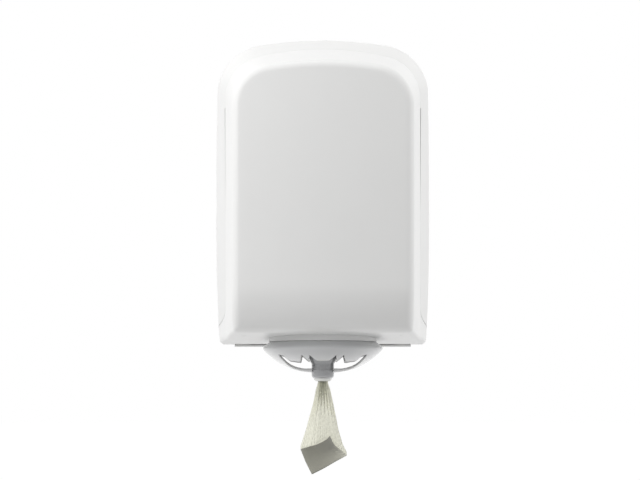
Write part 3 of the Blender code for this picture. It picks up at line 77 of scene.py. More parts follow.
Pair = tuple[float, float]
Rings = list[list[Vector]]
Spot = tuple[Vector, Matrix]
JOINTS = {joint["name"]: joint for joint in frame["joints"]}


class Body(Enum):
    """The bodies that pieces ride on."""

    REAR = "rear_unit"
    LOCK = "lock"
    COVER = "cover_unit"
    NOZZLE = "nozzle_unit"
    TAIL = "tail"


class Slot(Enum):
    """The record's material slots."""

    COVER = "cover_gloss"
    HOUSING = "housing_white"
    INNER = "inner_white"
    BOWL = "bowl_grey"
    NOZZLE = "nozzle_grey"
    INSERT = "insert_white"
    PAPER = "paper"
    STEEL = "zinc_steel"


def lerp(start: float, end: float, share: float) -> float:
    """Returns the value part of the way from start to end."""
    return start + (end - start) * share


def ease(share: float) -> float:
    """Returns a share from 0 to 1 that starts and ends gently."""
    share = min(max(share, 0.0), 1.0)
    return share * share * (3 - 2 * share)


def linear(hex_code: str) -> tuple[float, float, float, float]:
    """Turns the six digits of an sRGB colour into linear light, with an alpha of 1."""
    levels = [int(hex_code[i : i + 2], 16) / 255 for i in (0, 2, 4)]
    red, green, blue = (
        level / 12.92 if level <= 0.04045 else ((level + 0.055) / 1.055) ** 2.4 for level in levels
    )
    return red, green, blue, 1.0


def per_mm(size: float) -> float:
    """Returns the texture scale whose features are that many millimetres across."""
    return 1 / (size * MM)


def add_node(tree: NodeTree, kind: str, inputs: dict | None = None, **settings: str) -> Node:
    """Adds a node with its settings and links.

    Args:
        tree: the node tree to add to.
        kind: the node's type name.
        inputs: what goes into its sockets, by name or number: a value, an output socket, or a list.
        **settings: attributes to set on the node.

    Returns:
        The new node.
    """
    node = tree.nodes.new(kind)
    for key, value in settings.items():
        setattr(node, key, value)
    for key, value in (inputs or {}).items():
        for part in value if isinstance(value, list) else [value]:
            if isinstance(part, NodeSocket):
                tree.links.new(part, node.inputs[key])
            else:
                node.inputs[key].default_value = part
    return node


def empty_tree(owner: bpy.types.Material | bpy.types.World) -> NodeTree:
    """Gives a material or a world an empty node tree."""
    owner.use_nodes = True
    owner.node_tree.nodes.clear()
    return owner.node_tree


def noise(
    tree: NodeTree, place: NodeSocket, size: float, detail: float, roughness: float = 0.5, **settings: str
) -> NodeSocket:
    """Adds noise whose features are some millimetres across."""
    inputs = {"Vector": place, "Scale": per_mm(size), "Detail": detail, "Roughness": roughness}
    return add_node(tree, "ShaderNodeTexNoise", inputs, **settings).outputs[0]


def remap(
    tree: NodeTree, value: NodeSocket, source: Pair, target: Pair = (0.0, 1.0), **settings: str
) -> NodeSocket:
    """Turns one range of values into another."""
    names = ("From Min", "From Max", "To Min", "To Max")
    inputs = {"Value": value, **dict(zip(names, (*source, *target)))}
    return add_node(tree, "ShaderNodeMapRange", inputs, **settings).outputs[0]


def mix(tree: NodeTree, share: NodeSocket, first: object, second: object) -> NodeSocket:
    """Mixes two colours."""
    return add_node(tree, "ShaderNodeMix", {0: share, 6: first, 7: second}, data_type="RGBA").outputs[2]


def bump(
    tree: NodeTree, height: NodeSocket, distance: float, strength: object = 1.0, over: object = None
) -> NodeSocket:
    """Shades a relief so many millimetres high, over another one if it is given."""
    inputs = {"Strength": strength, "Distance": distance * MM, "Height": height}
    if over is not None:
        inputs["Normal"] = over
    return add_node(tree, "ShaderNodeBump", inputs).outputs[0]


def calculate(tree: NodeTree, operation: str, first: object, second: object) -> NodeSocket:
    """Does a sum with two values."""
    return add_node(tree, "ShaderNodeMath", {0: first, 1: second}, operation=operation).outputs[0]


@dataclass(frozen=True)
class Finish:
    """A finish that is made once and shared by its pieces."""

    name: str
    colour: str
    second_colour: str
    roughness: float

    def material(self) -> bpy.types.Material:
        """Returns the finish's material, made on first use."""
        found = bpy.data.materials.get(self.name)
        if found:
            return found
        material = bpy.data.materials.new(self.name)
        tree = empty_tree(material)
        add_node(tree, "ShaderNodeOutputMaterial", {"Surface": self.shade(tree).outputs[0]})
        return material

    def shade(self, tree: NodeTree) -> Node:
        """Builds the shader, which each kind of finish does in its own way."""
        raise NotImplementedError

    def cloudy_colour(self, tree: NodeTree, place: NodeSocket, size: float) -> NodeSocket:
        """Mixes the two colours in soft clouds, some millimetres across."""
        return mix(tree, noise(tree, place, size, 3.0), linear(self.colour), linear(self.second_colour))


@dataclass(frozen=True)
class MouldedPlastic(Finish):
    """Injection-moulded plastic: an even colour, the fine grain of the mould, and a slightly uneven gloss."""

    ior: float = 1.5
    drift: float = 0.04
    grain: float = 0.9
    grain_height: float = 0.004
    wave: float = 14.0
    wave_height: float = 0.010
    scuff_share: float = 0.35
    coat: float = 0.0
    coat_ior: float = 1.6
    coat_roughness: float = 0.14
    clouds: float = 60.0
    handled: float = 22.0
    scuffs: float = 40.0
    stretch: float = 9.0
    patches: Pair = (0.3, 0.7)

    def shade(self, tree: NodeTree) -> Node:
        """Builds the plastic's shader and returns the Principled BSDF."""
        place = add_node(tree, "ShaderNodeTexCoord").outputs["Object"]
        # The gloss drifts in patches and in upright streaks, where hands and cloths have been
        scale = (self.stretch, self.stretch, 1.0)
        streaks = add_node(tree, "ShaderNodeMapping", {"Vector": place, "Scale": scale}).outputs[0]
        handled = noise(tree, place, self.handled, 4.0)
        wear = {0: self.scuff_share, 2: handled, 3: noise(tree, streaks, self.scuffs, 6.0, 0.6)}
        worn = add_node(tree, "ShaderNodeMix", wear, data_type="FLOAT").outputs[0]
        gloss = (self.roughness - self.drift, self.roughness + self.drift)
        # Faint flow marks, as cooling plastic leaves them, lie under the real 0.2 mm grain, drawn coarser
        flow = bump(tree, noise(tree, place, self.wave, 1.0), self.wave_height)
        inputs = {
            "Base Color": self.body_colour(tree, place),
            "Roughness": remap(tree, worn, self.patches, gloss),
            "IOR": self.ior,
            "Coat Weight": self.coat,
            "Coat IOR": self.coat_ior,
            "Coat Roughness": self.coat_roughness,
            "Normal": bump(tree, noise(tree, place, self.grain, 2.0), self.grain_height, over=flow),
        }
        return add_node(tree, "ShaderNodeBsdfPrincipled", inputs)

    def body_colour(self, tree: NodeTree, place: NodeSocket) -> NodeSocket:
        """Returns the plastic's colour at a place: nearly even, in soft clouds."""
        return self.cloudy_colour(tree, place, self.clouds)


@dataclass(frozen=True)
class PaintedLightPlastic(MouldedPlastic):
    """Moulded plastic with painted light low down: paler between two heights, where its lower wall catches
    light from below.
    """

    # Painted light: the paler colour, and the heights between which the bowl turns to it
    painted_light_colour: str = "F4F4F4"
    painted_light_heights: Pair = (-206 * MM, -231 * MM)

    def body_colour(self, tree: NodeTree, place: NodeSocket) -> NodeSocket:
        """Returns the plastic's colour at a place, with painted light low down."""
        height = add_node(tree, "ShaderNodeSeparateXYZ", {"Vector": place}).outputs["Z"]
        # Painted light: the colour grows paler towards the lower height
        share = remap(tree, height, self.painted_light_heights, interpolation_type="SMOOTHSTEP")
        return mix(tree, share, self.cloudy_colour(tree, place, self.clouds), linear(self.painted_light_colour))


@dataclass(frozen=True)
class PlatedSteel(Finish):
    """Zinc-plated steel: bright, slightly blue, in crystal patches of differing gloss."""

    spangle: float = 1.6
    clouds: float = 4.0
    brighter: float = 0.07
    duller: float = 0.1

    def shade(self, tree: NodeTree) -> Node:
        """Builds the metal's shader and returns the Principled BSDF."""
        place = add_node(tree, "ShaderNodeTexCoord").outputs["Object"]
        inputs = {"Vector": place, "Scale": per_mm(self.spangle)}
        patches = add_node(tree, "ShaderNodeTexVoronoi", inputs).outputs[0]
        gloss = (self.roughness - self.brighter, self.roughness + self.duller)
        inputs = {
            "Base Color": self.cloudy_colour(tree, place, self.clouds),
            "Metallic": 1.0,
            "Roughness": remap(tree, patches, (0.0, 1.0), gloss),
        }
        return add_node(tree, "ShaderNodeBsdfPrincipled", inputs)


@dataclass(frozen=True)
class Tissue(Finish):
    """Embossed tissue paper: matt, dotted and fibrous, with painted shade where it is gathered and on the
    back of its turned-up corner.
    """

    # Painted shade colours: of the turned-up corner's back, and of the gathered sheet below the throat
    reverse_shade_colour: str = "57554A"
    gathered_shade_colour: str = "B6B69F"
    dot_spacing: float = 5.0
    dot_height: float = 0.45
    dot_scatter: float = 0.35
    dot_edge: Pair = (0.12, 0.42)
    fibre: float = 0.7
    fibre_height: float = 0.03
    clouds: float = 9.0
    ior: float = 1.4
    specular: float = 0.8
    coat: float = 0.7
    coat_roughness: float = 0.7
    sheen: float = 0.65
    sheen_roughness: float = 0.6

    def shade(self, tree: NodeTree) -> Node:
        """Builds the paper's shader, whose patterns follow the sheet's own UV map in metres."""
        flat = add_node(tree, "ShaderNodeUVMap", uv_map="sheet").outputs[0]
        # The turned and gathered attributes are masks of painted shade
        reverse_shade = add_node(tree, "ShaderNodeAttribute", attribute_name="turned").outputs["Fac"]
        gathered = add_node(tree, "ShaderNodeAttribute", attribute_name="gathered").outputs["Fac"]
        spots = {"Vector": flat, "Scale": per_mm(self.dot_spacing), "Randomness": self.dot_scatter}
        dots = add_node(tree, "ShaderNodeTexVoronoi", spots, voronoi_dimensions="2D").outputs[0]
        pressed = remap(tree, dots, self.dot_edge, interpolation_type="SMOOTHSTEP")
        emboss = bump(tree, pressed, self.dot_height, calculate(tree, "SUBTRACT", 1.0, reverse_shade))
        fibres = noise(tree, flat, self.fibre, 5.0, 0.65, noise_dimensions="2D")
        # Painted shade: darker where the sheet is gathered below the throat, and darker still on the back of
        # the turned-up corner
        face = self.cloudy_colour(tree, flat, self.clouds)
        gathered_shaded = mix(tree, gathered, face, linear(self.gathered_shade_colour))
        inputs = {
            "Base Color": mix(tree, reverse_shade, gathered_shaded, linear(self.reverse_shade_colour)),
            "Roughness": self.roughness,
            "IOR": self.ior,
            "Specular IOR Level": self.specular,
            "Coat Weight": self.coat,
            "Coat Roughness": self.coat_roughness,
            "Sheen Weight": self.sheen,
            "Sheen Roughness": self.sheen_roughness,
            "Normal": bump(tree, fibres, self.fibre_height, over=emboss),
        }
        return add_node(tree, "ShaderNodeBsdfPrincipled", inputs)


# ABS, moulded in a polished tool: bright and glossy, it mirrors softly at a glancing angle
GLOSS_ABS = MouldedPlastic("moulded_gloss_abs", "EEEEED", "F1F1F0", 0.34, ior=1.53, grain_height=0.0015)
# ABS from a finely etched tool: the same white, less gloss
SATIN_ABS = MouldedPlastic("moulded_satin_abs", "EBEBEA", "EEEEED", 0.38, ior=1.53)
# Polypropylene inner parts: waxy white with a dull gloss
WHITE_POLYPROPYLENE = MouldedPlastic("moulded_white_polypropylene", "DCDCDA", "E1E1DF", 0.5, ior=1.49)
# Pale grey polypropylene of the bowl: soft gloss, with painted light on its lower wall
GREY_POLYPROPYLENE = PaintedLightPlastic(
    "moulded_grey_polypropylene", "BCBDBE", "C0C1C2", 0.34, ior=1.49, grain=0.7, coat=1.0
)
# Acetal of the nozzle: darker grey, hard and slightly slippery
GREY_ACETAL = MouldedPlastic("moulded_grey_acetal", "A8A9AB", "ACADAF", 0.26, ior=1.48, grain=0.6, coat=1.0)
# Soft thermoplastic rubber of the gripping lip: matt and milky
SOFT_RUBBER = MouldedPlastic(
    "moulded_soft_rubber", "F7F7F4", "F3F3F0", 0.6, ior=1.5, grain=0.5, grain_height=0.008
)
# Zinc-plated steel of the screws, pins and lever
ZINC_STEEL = PlatedSteel("zinc_plated_steel", "B9BBBE", "A9ABB0", 0.34)
# Embossed cream tissue
CREAM_TISSUE = Tissue("embossed_cream_tissue", "FDFCEC", "FAF9E6", 0.95)


def link_object(name: str, mesh: Mesh) -> Object:
    """Puts a mesh in the scene as an object."""
    obj = bpy.data.objects.new(name, mesh)
    bpy.context.scene.collection.objects.link(obj)
    return obj


def as_object(bm: BMesh, name: str, place: Matrix | None = None) -> Object:
    """Turns a bmesh, which is freed, into an object whose place is in its mesh."""
    if place:
        bmesh.ops.transform(bm, matrix=place, verts=bm.verts)
    mesh = bpy.data.meshes.new(name)
    bm.to_mesh(mesh)
    bm.free()
    return link_object(name, mesh)


def bake(obj: Object) -> Object:
    """Applies an object's modifiers, so that its mesh is replaced by its evaluated one."""
    bpy.context.view_layer.update()
    graph = bpy.context.evaluated_depsgraph_get()
    mesh = bpy.data.meshes.new_from_object(obj.evaluated_get(graph))
    old = obj.data
    obj.modifiers.clear()
    obj.data = mesh
    bpy.data.meshes.remove(old)
    mesh.name = obj.name
    return obj


def remove(*objects: Object) -> None:
    """Deletes tools that have done their work."""
    for obj in objects:
        bpy.data.objects.remove(obj, do_unlink=True)


class Cut(Enum):
    """What a tool does to the piece it is used on."""

    AWAY = "DIFFERENCE"
    ON = "UNION"


Steps = list[tuple[Cut, Object]]


def carve(obj: Object, steps: Steps) -> Object:
    """Cuts tools away from a piece, or joins them on, in order, and deletes them."""
    for number, (action, tool) in enumerate(steps):
        step = obj.modifiers.new(f"step_{number}", "BOOLEAN")
        step.operation = action.value
        step.solver = "EXACT"
        step.object = tool
    bake(obj)
    remove(*(tool for _, tool in steps))
    return obj


def thicken(obj: Object, wall: float, offset: float = -1.0) -> Object:
    """Gives a skin its wall: inwards and even, or with an offset of 0 on both sides of a pleated sheet."""
    solid = obj.modifiers.new("wall", "SOLIDIFY")
    solid.thickness = wall
    solid.offset = offset
    solid.use_even_offset = offset != 0
    return bake(obj)


def smooth(obj: Object) -> Object:
    """Shades a piece smooth, apart from its sharp edges."""
    obj.data.shade_smooth()
    obj.data.set_sharp_from_angle(angle=SHARP_ANGLE)
    return obj


def bevelled(obj: Object, width: float) -> Object:
    """Rounds a piece's sharp edges with a bevel of a width."""
    edge = obj.modifiers.new("edge", "BEVEL")
    edge.width = width
    edge.segments = 2
    edge.limit_method = "ANGLE"
    edge.angle_limit = SHARP_ANGLE
    return smooth(bake(obj))


def hand_over(obj: Object, body: Body, finish: Finish, nodes: tuple[str, ...]) -> Object:
    """Dresses a finished piece, and puts it on its body in the place of the CAD nodes it stands for."""
    obj.data.materials.clear()
    obj.data.materials.append(finish.material())
    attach(obj, body.value)
    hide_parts(*nodes)
    LOG.info("%s: %d faces, %s, for %s", obj.name, len(obj.data.polygons), finish.name, ", ".join(nodes))
    return obj


def block(low: tuple, high: tuple) -> Object:
    """Makes a box between two corners."""
    low, high = Vector(low), Vector(high)
    bm = bmesh.new()
    bmesh.ops.create_cube(bm, size=1.0)
    size = Matrix.Diagonal((*(high - low), 1.0))
    return as_object(bm, "block", Matrix.Translation((low + high) / 2) @ size)


def rod(start: tuple, end: tuple, radius: float, segments: int = 48) -> Object:
    """Makes a round bar between two points."""
    start, end = Vector(start), Vector(end)
    bm = bmesh.new()
    sizes = {"radius1": radius, "radius2": radius, "depth": (end - start).length}
    bmesh.ops.create_cone(bm, cap_ends=True, segments=segments, **sizes)
    turn = (end - start).to_track_quat("Z", "Y").to_matrix().to_4x4()
    return as_object(bm, "rod", Matrix.Translation((start + end) / 2) @ turn)


def post(spot: Vector, low: float, high: float, radius: float, segments: int) -> Object:
    """Makes an upright round bar at a spot, from one height to another."""
    return rod((spot.x, spot.y, low), (spot.x, spot.y, high), radius, segments)


def loft(rings: Rings, closed: bool = False) -> BMesh:
    """Makes a skin through rings of equal length, whose ends get a face if it is closed."""
    bm = bmesh.new()
    rows = [[bm.verts.new(point) for point in ring] for ring in rings]
    count = len(rows[0])
    for near, far in zip(rows, rows[1:]):
        for i in range(count):
            j = (i + 1) % count
            bm.faces.new((near[i], near[j], far[j], far[i]))
    if closed:
        bm.faces.new(rows[0])
        bm.faces.new(rows[-1])
        bmesh.ops.recalc_face_normals(bm, faces=bm.faces)
    return bm


def prism(outline: list[Pair], low: float, high: float, axes: str) -> Object:
    """Makes a solid from an outline in the plane of two axes, such as YZ, between two places on the third."""
    spots = ["XYZ".index(letter) for letter in axes]
    third = 3 - sum(spots)
    rings = []
    for level in (low, high):
        ring = []
        for pair in outline:
            point = Vector((0.0, 0.0, 0.0))
            point[spots[0]], point[spots[1]] = pair
            point[third] = level
            ring.append(point)
        rings.append(ring)
    return as_object(loft(rings, closed=True), "prism")


def softened(points: list[Pair], reach: float, steps: int = 5, closed: bool = True) -> list[Pair]:
    """Rounds the corners of an outline or an open profile, each with as many points, from a reach away."""
    count = len(points)
    result = []
    for i, here in enumerate(points):
        if not closed and i in (0, count - 1):
            result.append(here)
            continue
        corner = Vector(here)
        before = Vector(points[i - 1]) - corner
        after = Vector(points[(i + 1) % count]) - corner
        start = corner + before.normalized() * min(reach, before.length * MOST_ROUNDED)
        end = corner + after.normalized() * min(reach, after.length * MOST_ROUNDED)
        for step in range(steps + 1):
            t = step / steps
            result.append(tuple(start * (1 - t) ** 2 + corner * 2 * t * (1 - t) + end * t**2))
    return result


def arc(centre: Pair, radius: float, start: float, end: float, steps: int) -> list[Pair]:
    """Returns points round a centre, from one angle to another."""
    angles = [lerp(start, end, i / steps) for i in range(steps + 1)]
    return [(centre[0] + radius * math.cos(a), centre[1] + radius * math.sin(a)) for a in angles]


def turned(profile: list[Pair], segments: int) -> BMesh:
    """Turns a closed profile of (radius, height) points about Z. Those on the axis become one point each."""
    bm = bmesh.new()
    rows = []
    for radius, height in profile:
        if radius < WELD:
            rows.append([bm.verts.new((0.0, 0.0, height))] * segments)
            continue
        angles = [FULL_TURN * i / segments for i in range(segments)]
        rows.append([bm.verts.new((radius * math.cos(a), radius * math.sin(a), height)) for a in angles])
    for near, far in zip(rows, rows[1:] + rows[:1]):
        for i in range(segments):
            j = (i + 1) % segments
            corners = list(dict.fromkeys((near[i], near[j], far[j], far[i])))
            if len(corners) > 2:
                bm.faces.new(corners)
    bmesh.ops.recalc_face_normals(bm, faces=bm.faces)
    return bm


def node_copy(node: str, name: str) -> Object:
    """Makes a clean copy of a CAD node: its loose triangles merged, its flat faces whole."""
    bm = bmesh.new()
    bm.from_mesh(frame["nodes"][node].data)
    bmesh.ops.remove_doubles(bm, verts=bm.verts, dist=WELD)
    bmesh.ops.dissolve_limit(bm, angle_limit=MERGE_ANGLE, verts=bm.verts, edges=bm.edges)
    return as_object(bm, name)


def lock_axis() -> Vector:
    """Returns the point on the housing's top that the lock turns about."""
    return Vector(JOINTS["lock_turn"]["pos_m"])


def hinge_axis() -> Vector:
    """Returns the middle of the cover's hinge."""
    return Vector(JOINTS["cover_open"]["pos_m"])


def bowl_place() -> Matrix:
    """Returns the bowl's tilted frame, whose origin is the middle of its widest ring."""
    joint = JOINTS["nozzle_turn"]
    turn = Vector((0.0, 0.0, 1.0)).rotation_difference(Vector(joint["axis"]))
    return Matrix.Translation(joint["pos_m"]) @ turn.to_matrix().to_4x4()


def lifted(point: Vector, height: float) -> Vector:
    """Returns a point moved up by a height."""
    return point + Vector((0.0, 0.0, height))


def bowl_screw_spots() -> list[Vector]:
    """Returns the places of the bowl's four screws, in the bowl's own frame."""
    angles = [math.pi / 4 + QUARTER_TURN * i for i in range(4)]
    return [Vector((SCREW_CIRCLE * math.cos(a), SCREW_CIRCLE * math.sin(a), 0.0)) for a in angles]


def box_middle(node: str) -> Vector:
    """Returns the middle of a CAD node's box."""
    low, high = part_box(node)
    return (low + high) / 2


@dataclass(frozen=True)
class Outline:
    """The body's outline at one depth: crowned top, round upper corners, bowed sides and a flat bottom."""

    half_width: float
    top: float
    bottom: float
    crown: float
    corner: float
    bulge_above: float = 0.0
    bulge_below: float = 0.0
    lower_corner: float = 5 * MM

    WIDEST_HEIGHT = -40.6 * MM
    TUCK_START = -120 * MM
    LEAST_CORNER_SHARE = 0.33
    CROWN_STEPS = 14
    CORNER_STEPS = 22
    SIDE_STEPS = 26
    TUCK_STEPS = 16
    LOWER_CORNER_STEPS = 5
    BOTTOM_STEPS = 14

    def toward(self, other: "Outline", share: float) -> "Outline":
        """Returns the outline part of the way to another one."""
        names = [field.name for field in fields(self)]
        return Outline(*(lerp(getattr(self, name), getattr(other, name), share) for name in names))

    def inset(self, distance: float) -> "Outline":
        """Returns the outline drawn in by a distance all round."""
        return Outline(
            self.half_width - distance,
            self.top - distance,
            self.bottom + distance,
            self.crown - distance,
            self.corner - distance,
            self.bulge_above,
            self.bulge_below,
            max(self.lower_corner - distance, self.lower_corner * self.LEAST_CORNER_SHARE),
        )

    def down_to(self, bottom: float) -> "Outline":
        """Returns the same outline with its bottom at another height."""
        return replace(self, bottom=bottom)

    def side_x(self, height: float) -> float:
        """Returns half the width at a height on the side."""
        if height >= self.WIDEST_HEIGHT:
            share = (height - self.WIDEST_HEIGHT) / (self.top - self.WIDEST_HEIGHT)
            return self.half_width - self.bulge_above * share**2
        share = (self.WIDEST_HEIGHT - height) / (self.WIDEST_HEIGHT - self.bottom)
        return self.half_width - self.bulge_below * share**2

    def half(self) -> list[Pair]:
        """Returns (x, z) points of the right half, from the middle of the top to the middle of the bottom."""
        corner_x = self.half_width - self.bulge_above / 2 - self.corner
        lean = math.asin(corner_x / (self.crown - self.corner))
        crown_centre = self.top - self.crown
        corner_z = crown_centre + (self.crown - self.corner) * math.cos(lean)
        middle = (0.0, crown_centre)
        points = arc(middle, self.crown, QUARTER_TURN, QUARTER_TURN - lean, self.CROWN_STEPS)[:-1]
        points += arc((corner_x, corner_z), self.corner, QUARTER_TURN - lean, 0.0, self.CORNER_STEPS)
        low = self.bottom + self.lower_corner
        steps = range(1, self.SIDE_STEPS + 1)
        heights = [lerp(corner_z, self.TUCK_START, i / self.SIDE_STEPS) for i in steps]
        heights += [lerp(self.TUCK_START, low, i / self.TUCK_STEPS) for i in range(1, self.TUCK_STEPS)]
        points += [(self.side_x(height), height) for height in heights]
        centre_x = self.side_x(low) - self.lower_corner
        points += arc((centre_x, low), self.lower_corner, 0.0, -QUARTER_TURN, self.LOWER_CORNER_STEPS)
        for i in range(1, self.BOTTOM_STEPS + 1):
            points.append((centre_x * (1 - i / self.BOTTOM_STEPS), self.bottom))
        return points

    def ring(self) -> list[Pair]:
        """Returns the whole outline as (x, z) points."""
        right = self.half()
        return right + [(-x, z) for x, z in reversed(right[1:-1])]


@dataclass(frozen=True)
class BodyForm:
    """The outer form that the housing and the cover share, and the parting line between them."""

    wall: float = 3 * MM
    straight_depth: float = 45 * MM
    flare_round: float = 10 * MM
    seam_depth: float = 100 * MM
    front_depth: float = 240 * MM
    front_peak: float = -30 * MM
    sag_top: float = 8 * MM
    sag_side: float = 6 * MM
    sag_low: float = 2 * MM
    tuck_radius: float = 75 * MM
    edge_round: float = 11 * MM
    edge_start: float = math.radians(8)
    underside_rear: float = -208.1 * MM
    underside_front: float = -182.4 * MM
    underside_front_depth: float = 205 * MM
    back_bottom: float = -210.7 * MM
    sweep_end: float = -188 * MM
    sweep_bend: float = -172 * MM
    sweep_top: float = -155 * MM
    seam_gap: float = 0.6 * MM
    hinge_depth: float = 9 * MM
    back_half_width: float = 120 * MM
    overrun: float = 10 * MM
    gap: float = 0.3 * MM
    bed: float = 1 * MM
    rear: Outline = Outline(143.5 * MM, 204 * MM, -208.1 * MM, 538 * MM, 67 * MM, 3 * MM, 4.5 * MM)
    seam: Outline = Outline(128.1 * MM, 186.3 * MM, -195.564 * MM, 368 * MM, 55 * MM)
    panel: Outline = Outline(114.4 * MM, 161.6 * MM, -182.4 * MM, 411 * MM, 52.4 * MM)

    def underside_at(self, depth: float) -> float:
        """Returns the height of the cover's underside at a depth."""
        return lerp(self.underside_rear, self.underside_front, depth / self.underside_front_depth)

    def flare(self, depth: float) -> float:
        """Returns how far the side has drawn in at a depth, with a soft start, as a share."""
        length = self.seam_depth - self.straight_depth
        past = depth - self.straight_depth
        if past <= -self.flare_round:
            return 0.0
        if past >= self.flare_round:
            return past / length
        return (past + self.flare_round) ** 2 / (4 * self.flare_round * length)

    def side_ring(self, depth: float, bottom: float) -> list[Vector]:
        """Returns the body's ring at a depth behind the seam, with its bottom at a height."""
        share = self.flare(depth)
        back = self.rear.down_to(bottom).ring()
        front = self.seam.down_to(bottom).ring()
        return [
            Vector((lerp(near[0], far[0], share), -depth, lerp(near[1], far[1], share)))
            for near, far in zip(back, front)
        ]

    def side_depths(self) -> list[float]:
        """Returns the depths of the rings behind the seam."""
        start = self.straight_depth - self.flare_round
        steps = 6
        soft = [start + 2 * self.flare_round * i / steps for i in range(steps + 1)]
        last = soft[-1]
        straight = [lerp(last, self.seam_depth, i / steps) for i in range(1, steps + 1)]
        return [start / 2, *soft, *straight]

    def front_surface(self, x: float, z: float) -> float:
        """Returns how far in front of the wall the panel's surface stands at a place."""
        depth = self.front_depth - self.sag_side * (x / self.panel.half_width) ** 2
        if z > self.front_peak:
            rise = (z - self.front_peak) / (self.panel.top - self.front_peak)
            return depth - self.sag_top * rise**2
        depth -= self.sag_low * ((z - self.front_peak) / (self.front_peak - self.underside_front)) ** 2
        if z < Outline.TUCK_START:
            fall = Outline.TUCK_START - z
            depth -= self.tuck_radius - math.sqrt(self.tuck_radius**2 - fall**2)
        return depth

    def sweep(self, gap_y: float, gap_z: float, steps: int = 20) -> list[Pair]:
        """Returns (y, z) points of the parting line, from its straight part back to the hinge."""
        line = -self.seam_depth + gap_y
        corners = ((line, self.sweep_top + gap_z), (line, self.sweep_bend + gap_z))
        end = (-self.hinge_depth, self.sweep_end + gap_z)
        points = []
        for i in range(steps + 1):
            t = i / steps
            weights = ((1 - t) ** 2, 2 * t * (1 - t), t**2)
            trio = (*corners, end)
            points.append(tuple(sum(w * p[k] for w, p in zip(weights, trio)) for k in (0, 1)))
        return points


